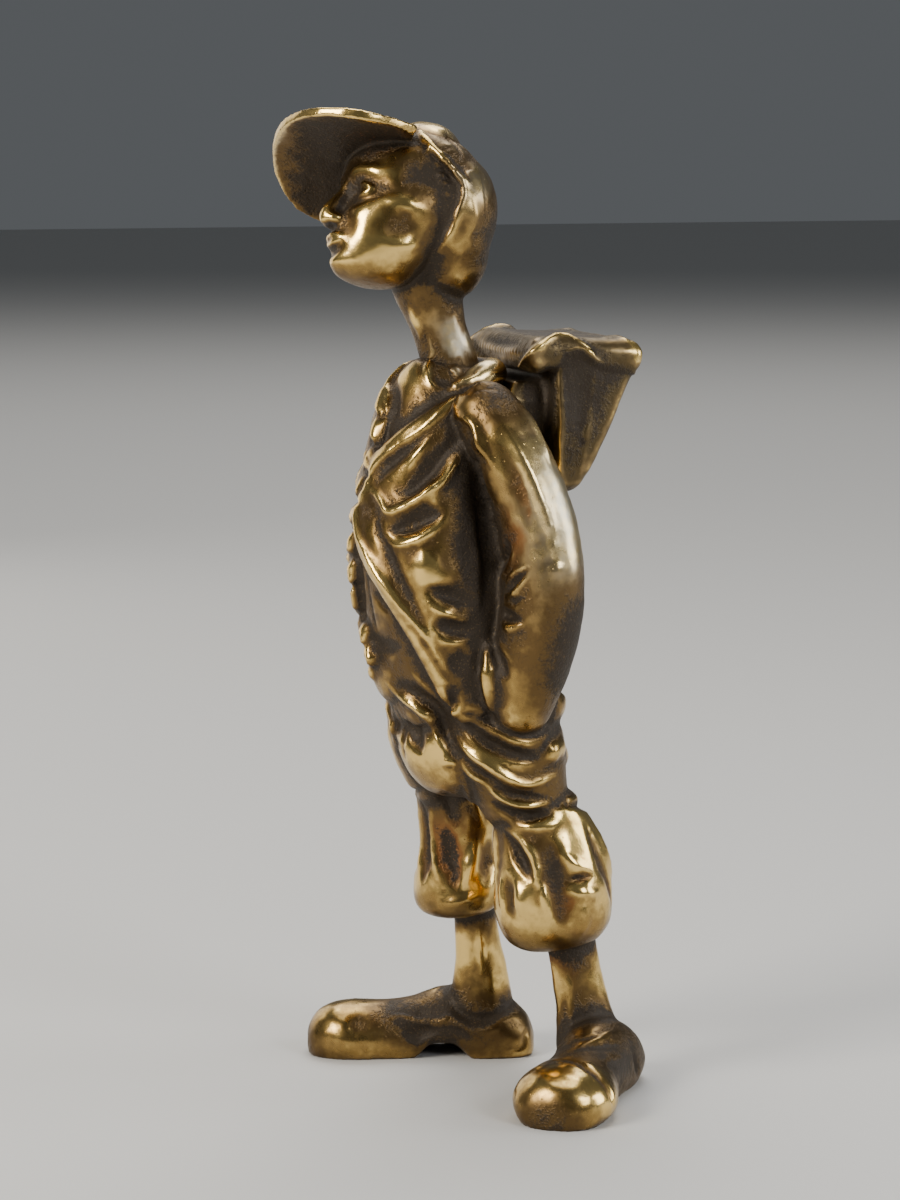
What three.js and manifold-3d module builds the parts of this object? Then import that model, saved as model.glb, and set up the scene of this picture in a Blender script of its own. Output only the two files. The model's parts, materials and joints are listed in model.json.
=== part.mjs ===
// A polished bronze statuette of a boy hiker: cap pushed back, jacket drawn open by the hands in
// the trouser pockets, baggy knee breeches, thin shins and big round shoes, and a rucksack that is
// cast apart and brazed on. Millimetres, +Z up; the boy faces -Y and his left side is +X.
import * as THREE from 'three';
import { LoftGeometry } from 'three/addons/geometries/LoftGeometry.js';
import { mergeVertices } from 'three/addons/utils/BufferGeometryUtils.js';
import Module from 'manifold-3d';

const wasm = await Module();
wasm.setup();

// Driving sizes
const seamGap = 0.3; // between the rucksack and the back it is brazed to
const clothThick = 1.9; // the jacket, over the shirt
const buttonHeight = 130;
const head = {
  wide: 28,
  deep: 33,
  high: 36,
  centre: new THREE.Vector3(-0.8, -8.5, 188),
  lean: { pitch: 18, roll: 17, turn: 4 }, // degrees: chin up, left side up, face to the left
};
const crown = {
  wide: 30.5,
  deep: 32,
  high: 36,
  centre: new THREE.Vector3(-2, -6.8, 189.5),
  lean: { pitch: 52, roll: 20, turn: 0 },
};
const peak = {
  wide: 39,
  reach: 28,
  root: 6,
  thick: 2.2,
  droop: 0.015,
  centre: new THREE.Vector3(-3.2, -9.7, 200.4),
  lean: { pitch: 13, roll: 35.5, turn: 0 },
};
const shoe = { long: 52, wide: 20, toeHigh: 12, instepHigh: 15 };
const leftHeel = new THREE.Vector3(8.5, 36, 0);
const rightHeel = new THREE.Vector3(-12, 25, 0);
const toeOut = { left: 52, right: -20 }; // degrees each foot turns from straight ahead
const pack = { wide: 37, front: 17, topBack: 37, lowBack: 24, low: 131, top: 158, web: 26 };
const lid = { high: 7, overhang: 5.5, lip: 0.6 };

const degrees = THREE.MathUtils.degToRad;
const { clamp, lerp, smoothstep } = THREE.MathUtils;
const backward = new THREE.Vector3(0, 1, 0);
const upward = new THREE.Vector3(0, 0, 1);

// One cross section of a form: its centre and its full width and depth.
function at(x, y, z, wide, deep) {
  return { centre: new THREE.Vector3(x, y, z), wide, deep };
}

// A lofted form through its cross sections. reference is the direction that the depth is measured
// along, square makes the sections from round (2) to boxy, and domes round off the two ends.
function loftForm(sections, { around, along, reference = backward, square = 2, domes = [0, 0] }) {
  const spine = new THREE.CatmullRomCurve3(sections.map((s) => s.centre));
  const halves = sections.map((s) => new THREE.Vector3(s.wide / 2, s.deep / 2, 0));
  const spread = new THREE.CatmullRomCurve3(halves);
  const ring = (t, shrink, push) => {
    const centre = spine.getPoint(t);
    const tangent = spine.getTangent(t);
    const side = reference.clone().cross(tangent).normalize();
    const front = tangent.clone().cross(side);
    const half = spread.getPoint(t);
    centre.addScaledVector(tangent, push);
    return Array.from({ length: around }, (_, i) => {
      const angle = ((i + 0.5) / around) * 2 * Math.PI;
      const [c, s] = [Math.cos(angle), Math.sin(angle)];
      const swell = (Math.abs(c) ** square + Math.abs(s) ** square) ** (-1 / square);
      return centre
        .clone()
        .addScaledVector(side, c * swell * half.x * shrink)
        .addScaledVector(front, s * swell * half.y * shrink);
    });
  };
  const rings = Array.from({ length: along + 1 }, (_, i) => ring(i / along, 1, 0));
  const domeSteps = [38, 72].map(degrees);
  if (domes[0]) domeSteps.forEach((a) => rings.unshift(ring(0, Math.cos(a), -Math.sin(a) * domes[0])));
  if (domes[1]) domeSteps.forEach((a) => rings.push(ring(1, Math.cos(a), Math.sin(a) * domes[1])));
  return new LoftGeometry(rings, { capStart: true, capEnd: true });
}

// Shared vertices only, so that the surface is closed and its normals are smooth.
function weld(geometry) {
  const bare = new THREE.BufferGeometry().copy(geometry);
  bare.deleteAttribute('normal');
  bare.deleteAttribute('uv');
  const welded = mergeVertices(bare, 1e-3);
  welded.computeVertexNormals();
  return welded;
}

// Moves every vertex of a form by a function of its place.
function shapeBy(geometry, place) {
  const shaped = weld(geometry);
  const position = shaped.attributes.position;
  const point = new THREE.Vector3();
  for (let i = 0; i < position.count; i++) {
    point.fromBufferAttribute(position, i);
    place(point);
    position.setXYZ(i, point.x, point.y, point.z);
  }
  shaped.computeVertexNormals();
  return shaped;
}

// A fold is drawn on the elevation seen from an azimuth (0 the front, 90 the boy's left), as points
// [across, height], and pressed onto what faces that way: high stands proud and below 0 is a hollow.
function fold(azimuth, wide, high, ...line) {
  return { azimuth: degrees(azimuth), wide, high, line };
}

// The same fold on the other side of the body.
function mirrored({ azimuth, wide, high, line }) {
  return { azimuth: -azimuth, wide, high, line: line.map(([across, height]) => [-across, height]) };
}

function carve(geometry, folds) {
  const carved = weld(geometry);
  const { position, normal } = carved.attributes;
  const point = new THREE.Vector3();
  const facing = new THREE.Vector3();
  const moved = new Float32Array(position.count);
  for (const { azimuth, wide, high, line } of folds) {
    const [c, s] = [Math.cos(azimuth), Math.sin(azimuth)];
    for (let i = 0; i < position.count; i++) {
      point.fromBufferAttribute(position, i);
      facing.fromBufferAttribute(normal, i);
      const towards = clamp((facing.x * s - facing.y * c) / 0.35, 0, 1);
      if (towards === 0) continue;
      const across = point.x * c + point.y * s;
      let nearest = Infinity;
      let share = 0;
      for (let k = 0; k + 1 < line.length; k++) {
        const [[ax, az], [bx, bz]] = [line[k], line[k + 1]];
        const [dx, dz] = [bx - ax, bz - az];
        const t = clamp(((across - ax) * dx + (point.z - az) * dz) / (dx * dx + dz * dz), 0, 1);
        const gap = Math.hypot(across - ax - t * dx, point.z - az - t * dz);
        if (gap < nearest) [nearest, share] = [gap, (k + t) / (line.length - 1)];
      }
      const taper = 0.3 + 0.7 * Math.sin(Math.PI * share) ** 0.6;
      moved[i] += high * taper * towards * Math.exp(-((nearest / wide) ** 2));
    }
  }
  for (let i = 0; i < position.count; i++) {
    point.fromBufferAttribute(position, i);
    facing.fromBufferAttribute(normal, i);
    point.addScaledVector(facing, moved[i]);
    position.setXYZ(i, point.x, point.y, point.z);
  }
  return carved;
}

// The same form a little larger all round.
function swollen(geometry, gap) {
  const larger = weld(geometry);
  const { position, normal } = larger.attributes;
  for (let i = 0; i < position.count; i++) {
    position.setX(i, position.getX(i) + gap * 1.1 * normal.getX(i));
    position.setY(i, position.getY(i) + gap * 1.1 * normal.getY(i));
    position.setZ(i, position.getZ(i) + gap * 1.1 * normal.getZ(i));
  }
  return larger;
}

function solidOf(geometry) {
  const welded = weld(geometry);
  return new wasm.Manifold(
    new wasm.Mesh({
      numProp: 3,
      vertProperties: new Float32Array(welded.attributes.position.array),
      triVerts: new Uint32Array(welded.index.array),
    }),
  );
}

function geometryOf(solid) {
  const { vertProperties, triVerts } = solid.getMesh();
  const geometry = new THREE.BufferGeometry();
  geometry.setAttribute('position', new THREE.BufferAttribute(vertProperties, 3));
  geometry.setIndex(new THREE.BufferAttribute(triVerts, 1));
  geometry.computeVertexNormals();
  return geometry;
}

const fused = (forms) => forms.map(solidOf).reduce((whole, form) => whole.add(form));

// Jacket, and the shirt and breeches under it

const torso = [
  at(0, 4.5, 78, 38, 35),
  at(0, 2.5, 88, 40, 36),
  at(0, -1, 97, 41, 34.5),
  at(0, -3.1, 107, 42.5, 36),
  at(0, -3.3, 117, 41.5, 37.5),
  at(0, -2.7, 127, 38.5, 35.5),
  at(0, -2.3, 137, 35, 32),
  at(0, -2.8, 146, 30, 27.5),
  at(0, -3, 152.5, 23, 22.5),
  at(0, -2, 158, 14, 15),
];

const leftJacketFolds = [
  fold(70, 2.6, 2, [-17, 131], [-12, 126.5], [-4, 131], [4, 140]), // pull from the button to the armpit
  fold(70, 2.4, -2, [-15, 135], [-6, 140], [0, 147]),
  fold(70, 2.4, -2, [-13.5, 122], [-6, 123], [0, 125]),
  fold(70, 2.6, 1.2, [-12, 118], [-4, 120]),
  fold(70, 3, -1.8, [-6, 110], [0, 107], [6, 106]),
  fold(70, 2.4, 1.4, [-5, 105], [1, 102.5], [5, 102]),
  fold(70, 2.6, -1.4, [-5, 100], [1, 97], [6, 94]),
  fold(70, 2.4, 1.4, [3, 93], [9, 88], [17, 82]),
];
const rightJacketFolds = [
  ...leftJacketFolds.map(mirrored),
  fold(-20, 2.6, -1.6, [-6, 128], [-7, 118], [-13, 108]),
];
const backFolds = [
  fold(180, 4, -1.4, [-9, 128], [0, 120], [9, 128]),
  fold(180, 3, 1.2, [-14, 108], [0, 101], [14, 108]),
  fold(180, 3, -1.2, [-15, 97], [0, 92], [15, 97]),
];

// The jacket's two front edges, [x, z] from the collar past the one button down to the hip. It
// hangs open between them in a V above the button and in a wider one below it.
const leftEdge = [
  [13, 150],
  [11, 143],
  [4.5, 137.5],
  [-2, 131],
  [-3.5, 124],
  [5, 116],
  [11, 110],
  [15, 100],
  [16.5, 92],
  [16.5, 85],
];
const rightEdge = [
  [-5.5, 152],
  [0, 145],
  [1.5, 138],
  [-2, 129],
  [-5, 123],
  [-5.5, 112],
  [-7, 103],
  [-10, 93],
  [-12.5, 84],
];
const above = ([, z]) => z > buttonHeight;
const below = ([, z]) => z <= buttonHeight;
const collarOpening = [
  ...leftEdge.filter(above).reverse(),
  [13, 165],
  [-6, 165],
  ...rightEdge.filter(above),
];
const skirtOpening = [
  ...leftEdge.filter(below),
  [16.5, 70],
  [-14, 70],
  ...rightEdge.filter(below).reverse(),
];

function frontCut(outline) {
  const shape = new THREE.Shape(outline.map(([x, z]) => new THREE.Vector2(x, z)));
  const block = new THREE.ExtrudeGeometry(shape, { depth: 40, bevelEnabled: false });
  block.rotateX(Math.PI / 2);
  block.translate(0, -2, 0);
  return block;
}

function jacketCloth() {
  const cloth = loftForm(torso, { around: 36, along: 22, square: 2.15 });
  return carve(cloth, [...leftJacketFolds, ...rightJacketFolds, ...backFolds]);
}

function jacket() {
  const cuts = fused([frontCut(collarOpening), frontCut(skirtOpening)]);
  return solidOf(jacketCloth()).subtract(cuts);
}

// How far forward the jacket's front surface is at a point of the front elevation.
function jacketFront(x, z) {
  const k = clamp(torso.findIndex((s) => s.centre.z > z), 1, torso.length - 1);
  const [low, high] = [torso[k - 1], torso[k]];
  const share = (z - low.centre.z) / (high.centre.z - low.centre.z);
  const halfWide = lerp(low.wide, high.wide, share) / 2;
  const halfDeep = lerp(low.deep, high.deep, share) / 2;
  const middle = lerp(low.centre.y, high.centre.y, share);
  return middle - halfDeep * Math.sqrt(Math.max(1 - (x / halfWide) ** 2, 0));
}

// The rolled edge of the jacket, down from the collar, past the button and round to the hip.
function frontEdge(path, width) {
  const rolls = path.map(([x, z]) => at(x, jacketFront(x, z) + width / 4, z, width, width));
  return loftForm(rolls, { around: 6, along: path.length + 2, domes: [1, 1] });
}

function shirtAndWaist() {
  const inside = torso.map(({ centre, wide, deep }) => {
    const { x, y, z } = centre;
    return at(x, y, z, wide - 2 * clothThick, deep - 2 * clothThick);
  });
  const body = loftForm(inside, { around: 26, along: 14, square: 2.15 });
  return carve(body, [
    fold(0, 3, 1.3, [-10, 96], [-4, 90], [2, 80]),
    fold(0, 3, 1, [13, 98], [8, 90], [5, 80]),
  ]);
}

// A sleeve runs from the shoulder over the elbow into the trouser pocket; side is 1 left, -1 right.
function sleeve(side) {
  const folds = [
    fold(70, 2.2, 1.3, [3, 148], [7, 142], [9.5, 133]),
    fold(70, 1.8, -1.3, [9, 111], [14, 114.5]),
    fold(70, 1.6, -1.1, [9, 106], [15, 107.5]),
    fold(70, 2, -1.3, [9, 101], [13, 99]),
    fold(70, 2.2, -1, [10, 97], [12, 90], [15, 85]),
    fold(180, 3, -1.3, [-34, 118], [-26, 114]),
    fold(180, 2.6, -1.2, [-34, 108], [-26, 107]),
  ];
  const arm = loftForm(
    [
      at(side * 12, 0.5, 150, 12, 12),
      at(side * 18, 2.5, 147, 14, 14.5),
      at(side * 22.5, 5.2, 139, 15.5, 16),
      at(side * 24.2, 9.8, 128, 18.5, 16),
      at(side * 25.6, 12, 117, 20, 16.5),
      at(side * 25.2, 11.8, 106, 20.5, 17.5),
      at(side * 23.2, 10.2, 95, 19.5, 16.5),
      at(side * 21, 8.5, 87, 16, 14),
      at(side * 19, 8.5, 81, 10, 11),
    ],
    { around: 14, along: 11, domes: [3, 3] },
  );
  return carve(arm, side > 0 ? folds : folds.map(mirrored));
}

function collar() {
  const roll = [];
  const steps = 10;
  for (let i = 0; i <= steps; i++) {
    const turn = degrees(lerp(-35, 215, i / steps));
    const front = smoothstep(-Math.sin(turn), -0.6, 0.6);
    const radius = lerp(9, 11.5, front);
    roll.push(at(radius * Math.cos(turn), 8 * Math.sin(turn), lerp(154.5, 149, front), 6, 6.5));
  }
  return loftForm(roll, { around: 7, along: 12, reference: upward, domes: [2, 2] });
}

// Knee breeches

function seat() {
  return loftForm(
    [
      at(0, 7, 65, 26, 24),
      at(0, 6, 71, 35, 33),
      at(0, 5, 78, 36, 33),
      at(0, 3, 84, 30, 27),
    ],
    { around: 22, along: 4, domes: [3, 0] },
  );
}

const leftBreechesFolds = [
  fold(70, 2.2, 1.6, [-2, 82], [4, 81.5], [11, 77.5], [17, 75], [22, 78]),
  fold(70, 1.8, -1.7, [3, 80], [7, 75.5], [13, 72.5], [19, 74]),
  fold(70, 2, 1.2, [2, 78], [5, 73.5], [11, 70], [17, 68], [23, 72]),
  fold(70, 1.6, -1.2, [5, 70.5], [12, 66], [20, 65]),
];

function leftThigh() {
  const thigh = loftForm(
    [
      at(9.5, 5.5, 86, 18, 20),
      at(10.3, 7.8, 79, 24, 26),
      at(11, 10.3, 71, 23.5, 25),
      at(11.5, 12.3, 65, 19.5, 19.5),
      at(12, 14, 60, 15, 15),
    ],
    { around: 18, along: 7 },
  );
  return carve(thigh, leftBreechesFolds);
}

function rightThigh() {
  const thigh = loftForm(
    [
      at(-9, 2, 88, 17, 20),
      at(-9.8, 1.2, 80, 24, 26),
      at(-10.5, 2, 73, 23, 24),
      at(-11, 4, 67, 19.5, 21),
      at(-11.5, 6.2, 60, 14, 14.5),
    ],
    { around: 18, along: 7 },
  );
  return carve(thigh, [
    fold(70, 2, -1.8, [-10, 81], [-7.5, 75.5], [-5, 69]),
    fold(0, 2.4, -1.4, [-8, 84], [-12, 74], [-12, 66]),
    fold(-70, 2.2, 1.4, [-20, 72], [-10, 73], [2, 80]),
    fold(-70, 2, -1.4, [-20, 68], [-10, 67], [0, 73]),
  ]);
}

function leftPuff() {
  const puff = loftForm(
    [
      at(12, 14.2, 62, 14.5, 14.5),
      at(12.5, 16.4, 57, 17, 17.5),
      at(13, 18, 52, 20.5, 21.5),
      at(13.5, 18.8, 47, 23.5, 25),
      at(13.8, 19, 42, 24.5, 26),
      at(14, 19, 37, 22, 24),
      at(14.3, 19.5, 33, 15.5, 17),
    ],
    { around: 18, along: 8, domes: [0, 3] },
  );
  return carve(puff, [
    fold(70, 2.2, -1.8, [10.5, 57], [13, 49], [16, 43]),
    fold(70, 2.6, 1.2, [21, 58], [26, 52], [31, 46]),
    fold(70, 2.4, -1, [21, 47], [24, 39]),
    fold(0, 2.4, -1.6, [11, 57], [9, 46], [12, 38]),
    fold(160, 2.4, -1.5, [-16, 58], [-18, 46], [-14, 37]),
    fold(200, 2.2, -1.3, [-8, 57], [-5, 46], [-8, 38]),
  ]);
}

function rightPuff() {
  const puff = loftForm(
    [
      at(-11.5, 6.2, 61, 13.5, 14),
      at(-12, 6.6, 56, 16, 16.5),
      at(-12.3, 6.8, 50, 18.5, 18),
      at(-12.6, 6.8, 44, 20, 18.5),
      at(-13, 6.8, 40, 19.5, 18.5),
      at(-13.3, 7.2, 37, 15, 15),
    ],
    { around: 16, along: 7, square: 2.4, domes: [0, 2.5] },
  );
  return carve(puff, [
    fold(70, 1.8, 1, [-4, 57], [-4, 48], [-2, 40.5], [3, 39]),
    fold(70, 2.4, -1.4, [0, 56], [0, 46]),
    fold(-20, 2.2, -1.4, [-15, 57], [-17, 46], [-14, 40]),
    fold(-70, 2.4, -1.5, [-4, 57], [-7, 46], [-3, 39]),
    fold(180, 2.2, -1.3, [12, 57], [14, 46], [11, 40]),
  ]);
}

// Shins and shoes

function leftShin() {
  return loftForm(
    [
      at(14, 21.5, 36, 7, 11),
      at(14.6, 23.2, 28, 7, 11),
      at(15.5, 24.6, 19, 7.2, 11.5),
      at(16, 26.3, 10, 9, 14.5),
      at(16, 27, 6, 10, 16),
    ],
    { around: 10, along: 6, square: 2.6 },
  );
}

function rightShin() {
  return loftForm(
    [
      at(-13, 9.5, 42, 8, 9.5),
      at(-13.4, 11, 30, 8, 9.5),
      at(-14, 12.4, 21, 8.5, 11.5),
      at(-14.5, 12.6, 13, 11, 14.5),
      at(-14.6, 12.8, 6, 13, 17),
    ],
    { around: 10, along: 6, square: 2.2 },
  );
}

// A shoe from heel to toe, in its own frame: toe along -Y, sole on z = 0.
function shoeForm() {
  const { long, wide, toeHigh, instepHigh } = shoe;
  const section = (share, width, height) =>
    at(0, -share * long, height * 0.36, width * wide, height * 1.28);
  const upper = loftForm(
    [
      section(0.06, 0.74, instepHigh * 0.66),
      section(0.16, 0.9, instepHigh * 0.95),
      section(0.3, 0.88, instepHigh * 1.02),
      section(0.44, 0.78, instepHigh),
      section(0.56, 0.8, toeHigh * 0.98),
      section(0.7, 0.98, toeHigh * 0.96),
      section(0.84, 1, toeHigh),
      section(0.94, 0.72, toeHigh * 0.8),
    ],
    { around: 12, along: 10, reference: upward, square: 2.3, domes: [3, 3] },
  );
  return shapeBy(upper, (p) => {
    const arch = Math.exp(-(((-p.y / long - 0.42) / 0.1) ** 2));
    if (p.z < 3) p.x *= 1 - 0.2 * arch;
    p.z = Math.max(p.z, 2 * arch);
  });
}

function placedShoe(heel, out) {
  const placed = shoeForm();
  placed.rotateZ(degrees(out));
  placed.translate(heel.x, heel.y, heel.z);
  return placed;
}

// Head, cap and neck

function neck() {
  return loftForm(
    [
      at(0, 1.5, 150, 15, 15),
      at(0, 0, 157, 12, 12),
      at(0, -2.6, 163.5, 11, 11.5),
      at(-0.3, -4.4, 170, 12.5, 13.5),
      at(-0.8, -5.5, 177, 16, 18),
    ],
    { around: 14, along: 5 },
  );
}

// Turns a form about the origin by its lean and puts it in its place.
function tilted(geometry, { centre, lean }) {
  const placed = new THREE.BufferGeometry().copy(geometry);
  placed.rotateX(degrees(-lean.pitch));
  placed.rotateY(degrees(-lean.roll));
  placed.rotateZ(degrees(lean.turn));
  placed.translate(centre.x, centre.y, centre.z);
  return placed;
}

function ellipsoid(wide, deep, high, around, rows) {
  const ball = new THREE.SphereGeometry(0.5, around, rows);
  ball.rotateX(Math.PI / 2);
  ball.scale(wide, deep, high);
  return ball;
}

// The skull and face: an egg that narrows to the chin, on the usual halves and thirds of a head.
function skull() {
  const { wide, deep, high } = head;
  return shapeBy(ellipsoid(wide, deep, high, 20, 13), (p) => {
    const down = clamp(-p.z / (high / 2), 0, 1);
    const front = clamp(-p.y / (deep / 2), 0, 1);
    const middle = Math.exp(-((p.x / 7) ** 2)) * front;
    p.x *= 1 - 0.2 * down ** 1.5;
    p.y *= 1 - 0.16 * down * (1 - front);
    p.y += 1.3 * Math.exp(-(((p.z - 0.5) / 2.2) ** 2)) * front;
    p.y -= 1.2 * Math.exp(-(((p.z + 8) / 4) ** 2)) * middle;
    p.y -= 5.8 * Math.exp(-(((p.z + 15) / 4.2) ** 2)) * middle;
  });
}

function nose() {
  const { deep } = head;
  return loftForm(
    [
      at(0, -deep * 0.47, 0.5, 2.6, 2.6),
      at(0, -deep * 0.5, -3.5, 3.2, 3.6),
      at(0, -deep * 0.535, -6.8, 4.8, 4.6),
    ],
    { around: 8, along: 3, domes: [1, 1.4] },
  );
}

function lips() {
  const bow = [-1, -0.5, 0, 0.5, 1].map((k) => {
    const back = -head.deep * 0.455 + 1.6 * k * k;
    return at(4 * k, back, -11.4 + 0.6 * k * k, 1.8 - 0.8 * k * k, 2.8 - 1.4 * k * k);
  });
  return loftForm(bow, { around: 6, along: 6, domes: [0.4, 0.4] });
}

function ear(side) {
  const shell = ellipsoid(3.2, 6, 9, 10, 7);
  shell.rotateZ(degrees(side * 18));
  shell.translate(side * head.wide * 0.48, 1.5, -3);
  return shell;
}

function hair() {
  const mass = ellipsoid(25, 21, 24, 14, 9);
  mass.translate(-0.8, -1.2, 181);
  return mass;
}

// The cap's crown covers the top and back of the head; below its rim it is flat inside the skull.
function capCrown() {
  const bowl = shapeBy(ellipsoid(crown.wide, crown.deep, crown.high, 18, 11), (p) => {
    if (p.z < 0) p.z *= 0.25;
  });
  return tilted(bowl, crown);
}

// The peak is a plate that stands out from the brow and droops towards its sides.
function capPeak() {
  const { wide, reach, root, thick, droop } = peak;
  const section = [[0, 0.5], [0.5, 0.5], [0.93, 0.42], [1, 0], [0.93, -0.42], [0.5, -0.5], [0, -0.5]];
  const rings = [];
  const steps = 14;
  for (let i = 0; i <= steps; i++) {
    const turn = degrees(lerp(-90, 90, i / steps));
    const edge = new THREE.Vector2(
      (wide / 2) * Math.sign(turn) * Math.abs(Math.sin(turn)) ** 0.86,
      root + (reach - root) * Math.cos(turn) ** 0.86,
    );
    const joint = new THREE.Vector2(0.3 * edge.x, Math.min(root - 3, 0.3 * edge.y));
    const ring = [];
    for (const [share, lift] of section) {
      const flat = joint.clone().lerp(edge, share);
      ring.push(new THREE.Vector3(flat.x, -flat.y, lift * thick - droop * flat.x ** 2));
    }
    rings.push(ring);
  }
  return tilted(new LoftGeometry(rings, { capStart: true, capEnd: true }), peak);
}

// Rucksack

function rucksackBody() {
  const { wide, front, topBack, lowBack, low, top } = pack;
  const section = (share, width) => {
    const back = lerp(lowBack, topBack, share ** 0.9);
    return at(0, (front + back) / 2, lerp(low, top, share), wide * width, back - front);
  };
  const bag = loftForm(
    [section(0, 0.88), section(0.12, 0.96), section(0.4, 0.99), section(1, 0.97)],
    { around: 20, along: 5, square: 5, domes: [1.8, 0] },
  );
  return carve(bag, [
    fold(90, 1.8, -0.9, [25, 157], [23.5, 146], [21.5, 136]),
    fold(90, 1.8, 0.9, [20.5, 157], [19.5, 146], [18.5, 134]),
    fold(-90, 1.8, -0.9, [-25, 157], [-23.5, 146], [-21.5, 136]),
    fold(-90, 1.8, 0.9, [-20.5, 157], [-19.5, 146], [-18.5, 134]),
    fold(180, 2.4, -0.9, [0, 156], [0, 145], [0, 136]),
  ]);
}

// The web that the rucksack was brazed on by, hidden between it and the jacket.
function brazedWeb() {
  const { web, front, low, top } = pack;
  const inJacket = 6;
  const reach = front - inJacket;
  const middle = inJacket + reach / 2 + 1;
  return loftForm(
    [at(0, middle, low + 1.5, web * 0.9, reach), at(0, middle, top - 5, web, reach)],
    { around: 16, along: 2, square: 4 },
  );
}

function rucksackLid() {
  const { wide, front, topBack, top } = pack;
  const { high, overhang, lip } = lid;
  const fore = front - overhang;
  const deep = topBack + lip - fore;
  const section = (down, width, inset) =>
    at(0, fore + deep / 2, top + 4 - down * high, wide * width, deep - inset);
  const flap = loftForm(
    [section(1, 1, 2), section(0.6, 1.03, 0), section(0.25, 1.02, 0), section(0, 0.96, 2)],
    { around: 20, along: 3, square: 5, domes: [0, 1] },
  );
  return shapeBy(flap, (p) => {
    const flank = smoothstep(Math.abs(p.x), wide * 0.3, wide * 0.5);
    if (p.z < top) p.z += 3 * flank * Math.exp(-(((p.y - 22) / 4) ** 2));
    p.z -= 0.04 * (p.y - fore);
  });
}

// The whole

const polishedBronze = new THREE.MeshStandardMaterial({ color: 0xa9813f, metalness: 1, roughness: 0.3 });
const darkBronze = new THREE.MeshStandardMaterial({ color: 0x5c401f, metalness: 1, roughness: 0.42 });

const upperForms = [shirtAndWaist(), sleeve(1), sleeve(-1), collar(), neck(), hair()];
const figureSolid = fused([
  ...upperForms,
  seat(),
  leftThigh(),
  rightThigh(),
  leftPuff(),
  rightPuff(),
  leftShin(),
  rightShin(),
  placedShoe(leftHeel, toeOut.left),
  placedShoe(rightHeel, toeOut.right),
  ...[skull(), nose(), lips(), ear(1), ear(-1)].map((form) => tilted(form, head)),
  capCrown(),
  capPeak(),
  frontEdge(leftEdge, 4.4),
  frontEdge(rightEdge, 4),
]).add(jacket());

// The rucksack's web fits the back that it is brazed to, with a thin seam all round.
const backWithSeam = fused([jacketCloth(), ...upperForms].map((form) => swollen(form, seamGap)));
const bagSolid = fused([rucksackBody(), brazedWeb(), rucksackLid()]).subtract(backWithSeam);
const largest = bagSolid.decompose().reduce((a, b) => (a.volume() > b.volume() ? a : b));

const statuette = new THREE.Group();
const figure = new THREE.Mesh(geometryOf(figureSolid), polishedBronze);
figure.name = 'figure';
const rucksack = new THREE.Mesh(geometryOf(largest), darkBronze);
rucksack.name = 'rucksack';
statuette.add(figure, rucksack);

// The origin is on the ground, in the middle of the statuette's footprint.
const bounds = new THREE.Box3().setFromObject(statuette);
const middle = bounds.getCenter(new THREE.Vector3());
statuette.position.set(-middle.x, -middle.y, -bounds.min.z);

export default statuette;
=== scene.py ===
import json
from math import asin, atan2, cos, pi, radians, sin

import bpy
import numpy as np
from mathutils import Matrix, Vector
from mathutils.bvhtree import BVHTree

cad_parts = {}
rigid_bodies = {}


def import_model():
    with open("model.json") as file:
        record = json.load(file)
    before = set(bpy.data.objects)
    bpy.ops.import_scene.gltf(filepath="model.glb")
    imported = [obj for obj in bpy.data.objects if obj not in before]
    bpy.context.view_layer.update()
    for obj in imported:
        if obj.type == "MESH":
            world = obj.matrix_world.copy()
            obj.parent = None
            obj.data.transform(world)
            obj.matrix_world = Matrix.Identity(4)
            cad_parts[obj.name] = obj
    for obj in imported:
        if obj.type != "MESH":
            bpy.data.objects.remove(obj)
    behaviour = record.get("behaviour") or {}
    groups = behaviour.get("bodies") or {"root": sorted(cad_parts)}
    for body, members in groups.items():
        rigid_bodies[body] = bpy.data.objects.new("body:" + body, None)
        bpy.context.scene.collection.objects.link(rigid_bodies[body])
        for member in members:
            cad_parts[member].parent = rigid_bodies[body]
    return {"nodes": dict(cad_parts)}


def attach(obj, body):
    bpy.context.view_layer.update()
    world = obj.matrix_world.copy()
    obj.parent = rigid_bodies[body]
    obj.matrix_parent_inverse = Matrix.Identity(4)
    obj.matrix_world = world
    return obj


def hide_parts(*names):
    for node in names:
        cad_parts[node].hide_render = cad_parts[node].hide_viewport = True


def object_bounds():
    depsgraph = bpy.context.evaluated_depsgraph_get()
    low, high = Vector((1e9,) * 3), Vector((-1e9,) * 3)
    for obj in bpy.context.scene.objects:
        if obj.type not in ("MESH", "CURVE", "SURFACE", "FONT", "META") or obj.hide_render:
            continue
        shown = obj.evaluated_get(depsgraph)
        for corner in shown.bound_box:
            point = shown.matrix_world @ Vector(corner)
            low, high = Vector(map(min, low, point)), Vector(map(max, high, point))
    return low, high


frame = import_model()
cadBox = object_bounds()
print("frame loaded:", sorted(frame["nodes"]))

# The forms are modelled in millimetres about the boy's own axis: he faces -Y, his left is +X.
# They are brought to metres and to the frame's origin when they are finished.
build = {
    "axis": (-7.83, -1.55, 0.0),  # where that axis stands in the frame, mm
    "voxel": 0.62,                # skin of the casting, mm
    "fine": 0.42,                 # skin of the head
    "triangles": 196000,          # of the finished figure
}


# camera, lights and floor

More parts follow.
